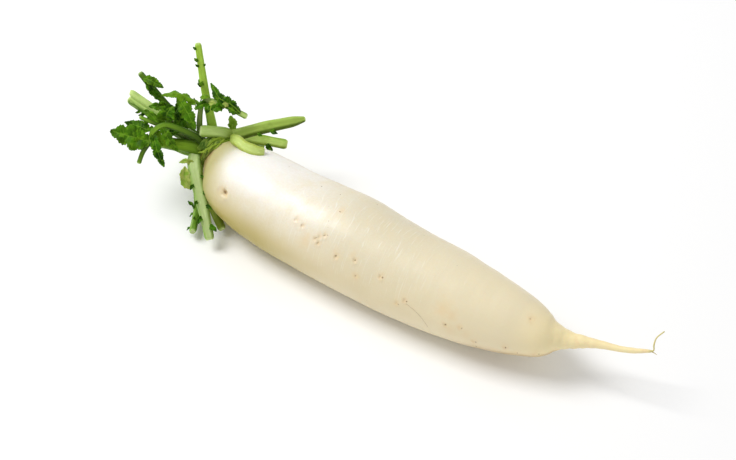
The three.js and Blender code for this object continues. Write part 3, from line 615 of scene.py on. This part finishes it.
class Paint:
    """A Principled material whose nodes are made by short calls."""

    def __init__(self, name, **sockets):
        self.material = bpy.data.materials.new(name)
        self.material.use_nodes = True
        self.tree = self.material.node_tree
        self.shader = self.tree.nodes["Principled BSDF"]
        for socket, value in sockets.items():
            self.shader.inputs[socket.replace("_", " ")].default_value = value
        self.place = self.node("TexCoord", "Object")

    def put(self, socket, value):
        """Sets an input to a number or colour, or links it."""
        if isinstance(value, bpy.types.NodeSocket):
            self.tree.links.new(value, socket)
        elif socket.type == "RGBA" and len(value) == 3:
            socket.default_value = (*value, 1.0)
        else:
            socket.default_value = value

    def node(self, kind, output, inputs=None, **settings):
        """An output of a new node that has these settings and inputs."""
        node = self.tree.nodes.new("ShaderNode" + kind)
        for name, setting in settings.items():
            setattr(node, name, setting)
        for name, value in (inputs or {}).items():
            self.put(node.inputs[name], value)
        return node.outputs[output]

    def value(self, name):
        """The piece's values of this name."""
        return self.node("Attribute", "Fac", attribute_name=name)

    def axis(self, letter):
        return self.node("SeparateXYZ", letter, {0: self.place})

    def stretch(self, *scale):
        """The place, scaled on its three axes."""
        return self.node("Mapping", "Vector", {"Vector": self.place, "Scale": scale})

    def down_the_stalk(self):
        """A place that changes quickly round a stalk and slowly along it."""
        values = {"X": self.value("turn_sin"), "Y": self.value("turn_cos"), "Z": self.value("run")}
        return self.node("CombineXYZ", 0, values)

    def noise(self, scale, detail, vector=None, distortion=0.0):
        return self.node("TexNoise", "Fac", {
            "Vector": vector or self.place, "Scale": scale, "Detail": detail, "Distortion": distortion,
        })

    def warped(self, scale, amount):
        """The place, pushed about by noise of up to half that amount."""
        pushes = self.node("TexNoise", "Color", {"Vector": self.place, "Scale": scale})
        pushed = self.vector_math("MULTIPLY_ADD", pushes, (amount,) * 3, self.place)
        return self.vector_math("SUBTRACT", pushed, (amount / 2,) * 3)

    def cells(self, scale):
        return self.node("TexVoronoi", "Distance", {"Vector": self.place, "Scale": scale})

    def math(self, operation, *values):
        return self.node("Math", 0, dict(enumerate(values)), operation=operation)

    def vector_math(self, operation, *values, output="Vector"):
        return self.node("VectorMath", output, dict(enumerate(values)), operation=operation)

    def product(self, first, *others):
        for other in others:
            first = self.math("MULTIPLY", first, other)
        return first

    def between(self, value, low, high, start=0.0, end=1.0):
        """An eased rise from start to end as value goes from low to high."""
        return self.node("MapRange", "Result", {
            "Value": value, "From Min": low, "From Max": high, "To Min": start, "To Max": end,
        }, interpolation_type="SMOOTHSTEP")

    def mark(self, place, start, end, half_width):
        """1 on a mark from start to end over the root's skin and 0 past half_width beside it."""
        start, end = Vector(start), Vector(end)
        middle = (start + end) / 2
        out = middle - Vector((middle.x, *MARK_CENTRE))
        ahead = (end - start).normalized()
        beside = out.cross(ahead).normalized()
        turned = Matrix((ahead, beside, ahead.cross(beside))).transposed()
        half_length = (end - start).length / 2 + half_width
        in_mark = self.node("Mapping", "Vector", {
            "Vector": place, "Location": middle, "Rotation": turned.to_euler(),
            "Scale": (half_length, half_width, MARK_DEPTH),
        }, vector_type="TEXTURE")
        away = self.vector_math("LENGTH", in_mark, output="Value")
        return self.between(away, 1.0, 0.15)

    def marks(self, place, rows):
        """The strongest of many marks: start, end, half width and strength."""
        total = 0.0
        for start, end, half_width, strength in rows:
            one = self.product(self.mark(place, start, end, half_width), strength)
            total = self.math("MAXIMUM", total, one)
        return total

    def layers(self, colour, *rows):
        """A colour under layers of others: how much of each shows, and its colour."""
        for share, tint in rows:
            inputs = {"Factor": share, 6: colour, 7: tint}  # A and B, as colours
            colour = self.node("Mix", 2, inputs, data_type="RGBA")
        return colour

    def bump(self, *rows):
        """Bumps on top of each other: height, distance and strength."""
        below = {}
        for height, distance, strength in rows:
            inputs = {"Height": height, "Distance": distance, "Strength": strength, **below}
            below = {"Normal": self.node("Bump", "Normal", inputs)}
        return below["Normal"]

    def finish(self, colour, **inputs):
        for name, value in {"Base Color": colour, **inputs}.items():
            self.put(self.shader.inputs[name], value)
        return self.material


def root_material(marks, streaks):
    """Moist cream skin, pale streaks across it, brown and tan scars, a yellower tail, painted highlight
    and shade.
    """
    paint = Paint(
        "root_skin", Subsurface_Weight=0.1, Subsurface_Radius=(1.0, 0.62, 0.3), Subsurface_Scale=0.004,
        Specular_IOR_Level=0.5, Coat_Weight=0.18, Coat_Roughness=0.32,
    )
    x, z = paint.axis("X"), paint.axis("Z")
    patches, mottle, grain = paint.noise(16.0, 3.0), paint.noise(70.0, 4.0), paint.noise(620.0, 2.0)
    lines = paint.noise(1.0, 2.0, paint.stretch(1000.0, 55.0, 55.0), 0.3)  # across the root
    fibres = paint.noise(1.0, 2.0, paint.stretch(60.0, 900.0, 900.0))  # along it
    pores = paint.cells(520.0)
    # painted highlight: fewer tan patches, so whiter skin, on the top near the crown where the lamp's
    # highlight falls
    painted_highlight = paint.product(paint.between(x, -0.04, -0.08), paint.between(z, 0.056, 0.068))
    patches_off_highlight = paint.math("SUBTRACT", 1.0, paint.product(painted_highlight, 0.6))
    lined = paint.product(
        paint.between(x, -0.09, -0.01), paint.between(x, 0.12, 0.05), paint.between(z, 0.035, 0.055),
        paint.between(lines, 0.56, 0.78, 0.0, 0.4),
    )
    belly_shade_and_reflection = paint.product(paint.between(x, 0.01, -0.085), paint.between(z, 0.07, 0.024), 0.95)
    blotches = paint.between(paint.noise(170.0, 2.0), 0.54, 0.68, 0.0, 0.3)
    colour = paint.layers(
        (0.93, 0.915, 0.885),  # white near the crown, partly a painted highlight, then cream
        (paint.between(x, -0.08, 0.02), (0.755, 0.69, 0.515)),
        # painted shade: deeper and tan towards the floor
        (paint.between(z, 0.072, 0.036), (0.735, 0.62, 0.375)),
        (paint.product(patches_off_highlight, paint.between(patches, 0.36, 0.7, 0.0, 0.5)), (0.80, 0.71, 0.49)),
        (paint.product(patches_off_highlight, paint.between(mottle, 0.45, 0.72, 0.0, 0.35)), (0.78, 0.67, 0.43)),
        (paint.product(patches_off_highlight, paint.between(grain, 0.35, 0.65, 0.0, 0.16)), (0.72, 0.60, 0.36)),
        (lined, (0.97, 0.95, 0.86)),
        (paint.marks(paint.warped(300.0, 0.002), streaks), (1.0, 0.98, 0.92)),
        (paint.between(pores, 0.0, 0.16, 0.14, 0.0), (0.60, 0.47, 0.24)),
        (belly_shade_and_reflection, (0.41, 0.32, 0.02)),  # painted shade and a painted green reflection on the belly near the crown
        # its own yellow-green at the crown end, darkened there as painted shade at the edge
        (paint.between(x, -0.1, -0.128, 0.0, 0.9), (0.47, 0.42, 0.16)),
        (paint.between(x, 0.03, 0.12, 0.0, 0.6), (0.88, 0.77, 0.52)),  # warmer towards the tail
        (paint.between(x, 0.145, 0.19, 0.0, 0.9), (0.95, 0.80, 0.44)),
        (paint.product(paint.between(x, 0.186, 0.2), blotches), (0.84, 0.56, 0.32)),
        (paint.between(x, 0.2445, 0.2485, 0.0, 0.8), (0.55, 0.50, 0.15)),  # the hair root
        (paint.product(paint.value("halo"), 0.7), (0.80, 0.56, 0.27)),
        (paint.value("scar"), (0.30, 0.15, 0.05)),
        (paint.marks(paint.warped(900.0, 0.001), marks), (0.25, 0.14, 0.05)),
        (paint.value("collar"), (0.30, 0.20, 0.07)),
    )
    normal = paint.bump(
        (lines, 0.0002, 0.4), (grain, 0.00012, 0.6), (fibres, 0.0001, 0.35), (pores, 0.0001, 0.25),
    )
    return paint.finish(colour, Roughness=paint.between(mottle, 0.3, 0.7, 0.36, 0.5), Normal=normal)


def stalk_material(name, core, edge, base, pith):
    """Juicy stalk: paler in its channel, streaked along its length, and pale where it is cut."""
    paint = Paint(
        name, Subsurface_Weight=0.1, Subsurface_Radius=(0.5, 1.0, 0.2), Subsurface_Scale=0.0025,
        Specular_IOR_Level=0.18,
    )
    lines = paint.noise(4.0, 3.0, paint.down_the_stalk())
    patches = paint.noise(90.0, 3.0)
    light = tuple(min(1.0, channel * 1.35 + 0.02) for channel in core)
    rim = tuple((a + b) / 2 for a, b in zip(light, pith))
    colour = paint.layers(
        core,
        (paint.between(paint.value("across"), 0.25, 0.95), edge),
        (paint.between(lines, 0.5, 0.72, 0.0, 0.5), light),
        (paint.between(patches, 0.5, 0.75, 0.0, 0.4), edge),
        # the foot's colour: on some stalks painted shade, on stalk_long partly painted light
        (paint.product(paint.value("base"), 0.75), base),
        (paint.value("cut"), rim),
        (paint.value("pith"), pith),
    )
    normal = paint.bump((lines, 0.0003, 0.5), (paint.noise(1400.0, 1.0), 0.0001, 0.3))
    return paint.finish(colour, Roughness=paint.between(patches, 0.3, 0.7, 0.34, 0.48), Normal=normal)


def leaf_material():
    """Dark green blade with paler veins, a lighter margin and painted flecks of sheen."""
    paint = Paint(
        "leaf_blade", Subsurface_Weight=0.12, Subsurface_Radius=(0.3, 1.0, 0.1), Subsurface_Scale=0.001,
        Specular_IOR_Level=0.08,
    )
    patches, painted_sheen_flecks, veinlets = paint.noise(110.0, 3.0), paint.noise(300.0, 2.0), paint.cells(900.0)
    young = paint.value("young")
    colour = paint.layers(
        (0.007, 0.042, 0.0007),
        (paint.between(patches, 0.38, 0.64), (0.05, 0.165, 0.002)),
        (paint.math("MINIMUM", paint.product(young, 0.75), 1.0), (0.15, 0.31, 0.008)),
        (paint.between(young, 1.3, 2.4), (0.40, 0.47, 0.11)),
        (paint.between(paint.value("vein"), 0.2, 1.0, 0.0, 0.7), (0.20, 0.36, 0.03)),
        # painted highlights: light flecks of sheen on the crinkled blade
        (paint.between(painted_sheen_flecks, 0.52, 0.66, 0.0, 0.6), (0.16, 0.34, 0.012)),
        (paint.between(veinlets, 0.0, 0.2, 0.3, 0.0), (0.08, 0.20, 0.004)),
    )
    normal = paint.bump((veinlets, 0.00015, 0.5), (patches, 0.0006, 0.4))
    return paint.finish(colour, Roughness=paint.between(patches, 0.3, 0.7, 0.36, 0.52), Normal=normal)


def crown_material():
    """Fibrous crown, brown at its collar and yellow-green above."""
    paint = Paint(
        "crown_flesh", Subsurface_Weight=0.08, Subsurface_Radius=(0.6, 1.0, 0.2), Subsurface_Scale=0.002,
        Specular_IOR_Level=0.2,
    )
    grain = paint.noise(1.0, 4.0, paint.stretch(900.0, 260.0, 260.0))
    patches = paint.noise(150.0, 3.0)
    colour = paint.layers(
        (0.05, 0.115, 0.004),
        (paint.between(paint.value("height"), 0.1, 1.0), (0.23, 0.34, 0.022)),
        (paint.between(patches, 0.42, 0.66, 0.0, 0.5), (0.26, 0.36, 0.03)),
        (paint.between(grain, 0.5, 0.7, 0.0, 0.4), (0.45, 0.55, 0.09)),
        (paint.product(paint.value("torn"), 0.7), (0.16, 0.11, 0.02)),
    )
    normal = paint.bump((grain, 0.0006, 0.8), (patches, 0.001, 0.5))
    return paint.finish(colour, Roughness=0.55, Normal=normal)


# ---- the root ----------------


def far_marks():
    """Scars and brown marks of the row on the far side, as in SCARS and MARKS."""
    rng = np.random.default_rng(11)
    scars, marks = [], []
    for place in np.linspace(FAR_ROW_FROM, FAR_ROW_TO, FAR_ROW_COUNT):
        x, degrees = place + rng.uniform(-8, 8), FAR_ROW_ROUND + rng.normal(0, 9)
        size, depth = rng.uniform(1.2, 2.1), rng.uniform(0.2, 0.5)
        half_width, dark = rng.uniform(0.6, 0.9), rng.uniform(0.4, 1.0)
        scars.append((x, degrees, size, depth))
        marks.append((x, degrees, x + 0.4, degrees + 1, half_width, dark))
    return scars, marks


def dents(x, degrees, radius, scars):
    """How far scars push the skin out, and how tan they and the tints make it."""
    reach, pit_depth, pit_narrow = 5, 2.1, 1.9  # in a scar's own sizes and depths
    lip_place, lip_width, lip_share, lip_limit = 1.2, 0.45, 0.6, 0.25
    push, tan = np.zeros_like(x), np.zeros_like(x)
    unrolled = np.stack([x, np.radians(degrees) * radius, np.zeros_like(x)], -1)
    uneven = 1 + 0.3 * noise(unrolled, 1.6, 6)

    def away_from(mark_x, mark_degrees, size):
        """How far points are from a mark, in its sizes, and how many mm past it round the root."""
        across = np.radians((degrees - mark_degrees + 180) % 360 - 180) * radius
        away = np.hypot((x - mark_x) / (SCAR_LONG * size), across / (SCAR_ACROSS * size))
        return away * uneven, across

    for mark_x, mark_degrees, size, depth in scars:
        away, across = away_from(mark_x, mark_degrees, size)
        near = away < reach
        away, across = away[near], across[near]
        below = 0.5 + 0.5 * across / (size * away + 0.1)
        lip = np.exp(-(((away - lip_place) / lip_width) ** 2)) * (0.4 + 1.3 * below)
        pit = np.exp(-pit_narrow * away ** 2)
        push[near] += min(lip_share * depth, lip_limit) * lip - pit_depth * depth * pit
        tan[near] = np.maximum(tan[near], 0.6 * np.exp(-((away * size / 3) ** 2)))
    for mark_x, mark_degrees, size, strength in TINTS:
        away, _ = away_from(mark_x, mark_degrees, size)
        tan = np.maximum(tan, strength * np.exp(-(away ** 2)))
    return push, tan


def on_skin(skin, turn, x, degrees):
    """The skin's points at each x and degrees round."""
    ring = np.interp(x, skin[..., 0].mean(1), np.arange(len(skin)))
    column = np.interp(np.radians(degrees) % (2 * np.pi), turn, np.arange(len(turn)))
    i, j = ring.astype(int), column.astype(int)
    u, v = (ring - i)[:, None], (column - j)[:, None]
    after = (j + 1) % len(turn)
    near = skin[i, j] * (1 - v) + skin[i, after] * v
    far = skin[i + 1, j] * (1 - v) + skin[i + 1, after] * v
    return near * (1 - u) + far * u


def in_metres(skin, turn, rows):
    """Rows of MARKS or STREAKS as start, end, half width and strength, for a material."""
    x0, degrees0, x1, degrees1, half_width, strength = np.array(rows, float).T
    starts = on_skin(skin, turn, x0, degrees0) * MM
    ends = on_skin(skin, turn, x1 + 0.01, degrees1) * MM  # so that a spot has a direction too
    return list(zip(starts.tolist(), ends.tolist(), (half_width * MM).tolist(), strength.tolist()))


def root_rings():
    """The root's rings: centres, radii, the way they run and the two ways across. They lie closer
    where the root tapers."""
    t = np.linspace(0, 1, 3000)
    length = lengths(along(ROOT_LINE, t))
    t = np.interp(np.linspace(0, length[-1], ROOT_RINGS), length, t)
    centre, radius, forward, _, _ = frames(ROOT_LINE, t, UP)
    lean = (1 - CROWN_LEAN) * smooth_step(centre[:, :1], LEAN_TO_X, LEAN_FROM_X)
    forward = unit(forward * (1 - lean) + np.array([1.0, 0, 0]) * lean)
    side = unit(np.cross(forward, UP))
    return centre, radius, forward, side, np.cross(side, forward)


def stain(skin, x, degrees, tan):
    """How tan the skin is, and how brown, under the crown and on its belly near the tail."""
    belly = smooth_step(degrees, 160, 140) * smooth_step(x, 95, 150) * smooth_step(x, 190, 178)
    belly = belly * (0.75 + 0.25 * noise(skin, 6, 8))
    collar = smooth_step(x, -128.6, -132.4) * (0.75 + 0.25 * noise(skin, 2.5, 5))
    collar = np.maximum(collar, 0.5 * belly * smooth_step(degrees, 105, 116))
    return np.maximum(tan, 0.9 * belly * smooth_step(degrees, 94, 112)), collar


def add_hair(piece, points, radius, brown):
    """A fine hair root through points."""
    rows = np.column_stack([points, np.broadcast_to(radius, len(points))])
    t, _ = even_steps(rows, HAIR_STEP)
    centre, radius, _, side, up = frames(rows, t, UP)
    out = spokes(up[:, None], side[:, None], circle(HAIR_SIDES))
    piece.grid(centre[:, None] + out * radius[:, None], scar=brown)


def make_root():
    centre, radius, forward, side, up = root_rings()
    turn = circle(ROOT_SIDES)
    turn = turn - SCAR_ROW_CROWDING * np.sin(2 * (turn - math.radians(SCAR_ROW_ROUND)))
    out = spokes(up[:, None], side[:, None], turn)
    skin = centre[:, None] + out * radius[:, None]
    x = skin[..., 0]
    degrees = np.broadcast_to(np.degrees(turn), x.shape)

    far_scars, far_browns = far_marks()
    push, tan = dents(x, degrees, radius, SCARS + far_scars)
    body = smooth_step(radius, TAIL_RADIUS, BODY_RADIUS)
    push = push + body * waves(skin, SKIN_WAVES)
    push = push + (body * SKIN_RING_HEIGHT * noise(skin, SKIN_RING_SIZE, 3)
                   + (1 - body) * TAIL_KNOBS * radius * noise(skin, 3, 4))
    skin = skin + out * push[..., None]
    skin[..., 2] = np.maximum(skin[..., 2], 0)
    tan, collar = stain(skin, x, degrees, tan)

    ends = [
        centre[0] + (skin[0] - centre[0]) * (1 - inward / radius[0]) - forward[0] * back
        for back, inward in ROOT_END
    ]
    with_ends = ((len(ends), 0), (0, 0))
    root = Piece("daikon_root", "scar", "halo", "collar")
    root.grid(
        np.concatenate([ends, skin]), halo=np.pad(tan, with_ends),
        collar=np.pad(collar, with_ends, constant_values=1),
    )
    hair = along(SKIN_HAIR, np.linspace(0, 1, 60))
    add_hair(root, on_skin(skin, turn, *hair.T), SKIN_HAIR_RADIUS, 0.55)
    *points, radii = np.transpose(TAIL_HAIR)
    add_hair(root, np.transpose(points), radii, 0.3)

    spots = [(*spot[:2], *spot) for spot in SPOTS]
    marks, streaks = in_metres(skin, turn, MARKS + spots + far_browns), in_metres(skin, turn, STREAKS)
    root.make([root_material(marks, streaks)], "root")


# ---- the crown ----------------


def add_knob(crown, base, axis, side, up):
    """The ribbed knob itself."""
    profile = along(CROWN_PROFILE, np.linspace(0, 1, CROWN_RINGS))
    turn = circle(CROWN_SIDES)
    ribbed = profile[:, 1:] * (1 + CROWN_RIB_DEPTH * np.cos(CROWN_RIBS * turn))
    out = spokes(side, up, turn)
    points = base + axis * profile[:, None, :1] + out * ribbed[..., None]
    points = points + out * waves(points, CROWN_WAVES)[..., None]
    crown.grid(points, height=np.linspace(0, 1, CROWN_RINGS)[:, None], torn=0.15)


def add_sheaths(crown, base, axis, side, up, rng):
    """Strips of old leaf bases that wind round the collar."""
    share = np.linspace(0, 1, 5)
    for i in range(SHEATHS):
        start = 2 * np.pi * (i + rng.uniform(-0.4, 0.4)) / SHEATHS
        turn = start + rng.choice([-1, 1]) * rng.uniform(0.4, 1.2) * share
        height = rng.uniform(-0.2, 1.6) + rng.uniform(1.5, 9.0) * share ** 1.3
        away = rng.uniform(14.4, 16.0) + 0.7 * np.sin(np.pi * share) - rng.uniform(1.0, 4.0) * share ** 2
        width = rng.uniform(2.0, 4.2) * (0.6 + 0.5 * np.sin(np.pi * share)) * (1 - 0.75 * share ** 3)
        out = spokes(side, up, turn)
        line = base + axis * height[:, None] + out * away[:, None]
        rows = np.hstack([line, width[:, None]])
        t, _ = even_steps(rows, 0.5)
        centre, width, _, across, high = frames(rows, t, out[2])
        strip = ring_points(centre, across, high, width, circle(SHEATH_SIDES), 0.25, 0.03)
        strip = strip + 0.25 * noise(strip, 1.5, 30 + i)[..., None]
        torn = rng.choice([0.0, 0.0, 0.0, 0.1, 0.8])
        crown.grid(strip, height=rng.uniform(0.3, 1.0), torn=torn)


def add_front_sheaths(crown, rng):
    """The larger strips over the front of the collar."""
    for i, (width, light, torn, line) in enumerate(FRONT_SHEATHS):
        line = line + rng.normal(0, 0.5, (len(line), 3))
        t, _ = even_steps(line, 0.4)
        centre, _, _, across, high = frames(from_heart(line), t, FRONT)
        taper = width * (0.35 + 0.65 * np.sin(np.pi * (0.12 + 0.8 * t)))[:, None]
        strip = ring_points(centre, across, high, taper, circle(SHEATH_SIDES), 0.3, 0.05)
        strip = strip + 0.3 * noise(strip, 1.8, 70 + i)[..., None]
        crown.grid(strip, height=light, torn=torn)


def make_crown():
    crown = Piece("daikon_crown", "height", "torn")
    base, axis = np.array(ROOT_LINE[0][:3]), unit(np.array(CROWN_AXIS))
    side = unit(np.cross(axis, UP))
    up = np.cross(side, axis)
    add_knob(crown, base, axis, side, up)
    rng = np.random.default_rng(5)
    add_sheaths(crown, base, axis, side, up, rng)
    add_front_sheaths(crown, rng)
    crown.make([crown_material()], "crown")


# ---- stalks and leaves ----------------


def cut_back(stalk, turn, run, length):
    """How many mm each point near a stalk's cut end is set back by its slant and its notch."""
    notch_width, reach = 0.3, 4 * (stalk.slant + stalk.notch) + 0.1
    back = stalk.slant * (0.5 - 0.5 * np.sin(turn))
    back = back + stalk.notch * np.exp(-((np.sin(turn) / notch_width) ** 2))
    return back * smooth_step(run, length - reach, length)


def add_stalk(piece, stalk, seed):
    """A leaf stalk with fine ridges, a little uneven, cut square at its outer end."""
    rows = from_heart(stalk.line)
    t, length = even_steps(rows, STALK_STEP)
    centre, width, forward, side, up = frames(rows, t, stalk.facing)
    run = t * length
    width = width * (1 + STALK_SWELL * line_noise(run, STALK_SWELL_SIZE, seed))[:, None]
    near_end = np.clip(1 - (length - run[:, None]) / (END_ROUNDING * width[-1]), 0, 1)
    width = width * (1 - END_NARROWS * near_end ** 2)
    turn = circle(STALK_SIDES)
    ridges = sum(size * np.cos(count * turn + by * seed) for size, count, by in STALK_RIDGES)
    rings = ring_points(centre, side, up, width, turn, stalk.depth, stalk.groove, stalk.channel, ridges)
    rings = rings + up[:, None] * (STALK_LUMP * noise(rings, STALK_LUMP_SIZE, seed + 1))[..., None]
    rings = rings - forward[:, None] * cut_back(stalk, turn, run[:, None], length)[..., None]

    out, share, pith = np.array(CUT_FACE).T
    last, middle = rings[-1], centre[-1] - forward[-1] * (stalk.slant / 2 + stalk.notch)
    rough = CUT_ROUGHNESS * noise(last, 1.2, seed + 2)[:, None]
    out, share = out[:, None, None], share[:, None, None]
    face = middle + (last - middle) * share + forward[-1] * (out + rough * (share < 0.9))

    def down(values, on_cut):
        """A value for each ring of the stalk, then for those of its cut end."""
        return np.concatenate([values, np.broadcast_to(on_cut, len(CUT_FACE))])[:, None]

    pale = np.where(np.sin(turn) * stalk.pale_side > 0, 0.3, 1.0 + 1.2 * abs(stalk.pale_side))
    piece.grid(
        np.concatenate([rings, face]),
        across=(pale * np.abs(np.sin(turn)))[None],
        turn_sin=np.sin(turn)[None], turn_cos=np.cos(turn)[None],
        run=down(run / STALK_GRAIN + seed, run[-1] / STALK_GRAIN + seed),
        base=down(1 - smooth_step(run, 3, stalk.base_reach), 0),
        cut=down(smooth_step(run, length - 0.8, length), 1),
        pith=down(np.zeros(len(rings)), pith),
    )


def half_blade(blade, hand, t, centre, side, up, seed):
    """The points, veins and midrib of a blade's half, from midrib to margin."""
    s, column = t[:, None], np.linspace(0, 1, BLADE_COLUMNS)[None]
    bend = math.radians(blade.fold)
    outline = np.sin(np.pi * (BLADE_START + BLADE_SPAN * s) ** BLADE_SKEW) ** BLADE_FULLNESS
    lobes = s * blade.teeth + LOBE_SHIFT * hand + 0.15 * math.sin(seed + hand)
    lobe = np.abs(np.sin(np.pi * lobes)) ** LOBE_ROUNDNESS
    tooth = np.abs(((lobes * FINE_TEETH + 0.4) % 1) * 2 - 1)
    chance = noise(np.stack([t * blade.teeth, 0 * t + hand, 0 * t], -1), 0.8, seed)[:, None]
    reach = blade.half_width * outline * (
        REACH_CORE + REACH_LOBE * lobe + REACH_TOOTH * tooth + REACH_CHANCE * chance
    )
    off_vein = 1 - np.abs((lobes - 0.4 * column) % 1 - 0.5) * 2  # 0 on a side vein, 1 half way
    pucker = blade.half_width * PUCKER * off_vein ** 1.5 * np.sin(np.pi * np.minimum(column, 0.9))
    wave = np.sin(2 * np.pi * (0.8 * lobes + 0.3 * hand) + seed) + 0.8 * chance
    ruffle = blade.half_width * RUFFLE * column ** 2.2 * outline * wave
    spread = reach * column
    lift = spread * math.sin(bend) + pucker + ruffle
    points = (centre[:, None] + side[:, None] * (hand * spread * math.cos(bend))[..., None]
              + up[:, None] * lift[..., None])
    warp = 0.4 * noise(points, 3.5, seed)
    warp = warp + 0.14 * blade.half_width * noise(points, 1.3 * blade.half_width, seed + 1)
    points = points + up[:, None] * warp[..., None]
    rib = np.exp(-((spread / (0.15 + 0.1 * blade.half_width * (1 - s))) ** 2))
    side_vein = np.exp(-((off_vein / 0.2) ** 2)) * (1 - 0.7 * column)
    return points, np.maximum(rib, 0.8 * side_vein), rib * (1 - s)


def add_blade(piece, blade, seed):
    """A thin blade with rounded lobes and fine teeth, folded along its midrib, puckered between its
    side veins and ruffled at its margin. Its line is in the part's frame."""
    t, _ = even_steps(blade.line, BLADE_STEP, 10 * blade.teeth)
    centre, _, _, side, up = frames(blade.line, t, blade.facing)
    halves = (half_blade(blade, hand, t, centre, side, up, seed) for hand in (-1, 1))
    top, vein, rib = (
        np.concatenate([left[:, ::-1], right[:, 1:]], 1) for left, right in zip(*halves)
    )
    margin = np.abs(np.linspace(-1, 1, top.shape[1]))[None]
    half = BLADE_THICKNESS / 2 * (1 - 0.4 * margin ** 3) + 0.05 * blade.half_width * rib
    normal = unit(np.cross(np.gradient(top, axis=0), np.gradient(top, axis=1)) + 1e-9)
    upper, lower = top + half[..., None] * normal, top - half[..., None] * normal
    light = np.broadcast_to(blade.young + 0.3 * margin ** 3, vein.shape)
    piece.grid(
        np.concatenate([upper, lower[:, ::-1]], 1), slot=1,
        vein=np.concatenate([vein, vein[:, ::-1]], 1), young=np.concatenate([light, light], 1),
    )


def scrap_blade(stalk, place, hand, length):
    """A torn bit of leaf that stands out from the edge of a stalk and lies along it."""
    centre, width, forward, side, up = (
        value[0] for value in frames(from_heart(stalk.line), np.array([place]), stalk.facing)
    )
    start = centre + side * hand * width * SCRAP_START_ACROSS + up * width * SCRAP_START_UP
    tip = (centre + side * hand * (width / 2 + length * SCRAP_OUT)
           + up * (width * SCRAP_RISE + length * SCRAP_RISE) + forward * length * SCRAP_FORWARD)
    middle = (start + tip) / 2 - forward * SCRAP_BEND * length
    return Blade([start, middle, tip], length * SCRAP_HALF_WIDTH, 2, fold=30, facing=stalk.facing)


def make_stalk(name, stalk, seed, leaf_paint):
    piece = Piece(
        "daikon_" + name, "across", "turn_sin", "turn_cos", "run", "base", "cut", "pith", "vein", "young",
    )
    add_stalk(piece, stalk, seed)
    for i, branch in enumerate(stalk.branches):
        add_stalk(piece, branch, seed + 3 + i)
    for i, line in enumerate(stalk.curls):
        add_stalk(piece, Stalk(line), seed + 9 + i)
    for i, blade in enumerate(stalk.blades):
        add_blade(piece, replace(blade, line=from_heart(blade.line)), seed + 7 * i)
    for i, scrap in enumerate(stalk.scraps):
        add_blade(piece, scrap_blade(stalk, *scrap), seed + 5 * i)
    paint = stalk_material("paint_" + name, stalk.core, stalk.edge, stalk.base, stalk.pith)
    piece.make([paint, leaf_paint], name)


# ---- the scene ----------------


def make_camera():
    azimuth, elevation = math.radians(CAMERA_AZIMUTH), math.radians(CAMERA_ELEVATION)
    back = Vector((
        math.sin(azimuth) * math.cos(elevation),
        -math.cos(azimuth) * math.cos(elevation),
        math.sin(elevation),
    ))
    camera = bpy.data.objects.new("camera", bpy.data.cameras.new("camera"))
    camera.data.lens = CAMERA_LENS
    camera.data.sensor_width = CAMERA_SENSOR
    camera.location = CAMERA_AIM + back * CAMERA_DISTANCE
    camera.rotation_euler = (-back).to_track_quat("-Z", "Y").to_euler()
    bpy.context.scene.collection.objects.link(camera)
    bpy.context.scene.camera = camera


def make_lights():
    """One soft lamp under a white sky."""
    scene = bpy.context.scene
    scene.view_settings.view_transform = "Standard"
    world = bpy.data.worlds.new("sky")
    world.use_nodes = True
    background = world.node_tree.nodes["Background"]
    background.inputs["Color"].default_value = (1.0, 1.0, 1.0, 1.0)
    background.inputs["Strength"].default_value = SKY_STRENGTH
    scene.world = world
    light = bpy.data.lights.new("key", "AREA")
    light.size = LAMP_SIZE
    light.energy = LAMP_POWER
    lamp = bpy.data.objects.new("key", light)
    lamp.location = LAMP_PLACE
    lamp.rotation_euler = (-Vector(LAMP_PLACE)).to_track_quat("-Z", "Y").to_euler()
    scene.collection.objects.link(lamp)


def make_floor():
    half = FLOOR_SIZE / 2
    corners = [(-half, -half, 0), (half, -half, 0), (half, half, 0), (-half, half, 0)]
    mesh = bpy.data.meshes.new("floor")
    mesh.from_pydata(corners, [], [(0, 1, 2, 3)])
    mesh.materials.append(Paint("floor_paint", Roughness=0.9).finish((0.98, 0.98, 0.98)))
    floor = bpy.data.objects.new("floor", mesh)
    bpy.context.scene.collection.objects.link(floor)


make_camera()
make_lights()
make_floor()
make_root()
make_crown()
leaf_paint = leaf_material()
for number, (name, stalk) in enumerate(STALKS.items()):
    make_stalk(name, stalk, 100 + 20 * number, leaf_paint)
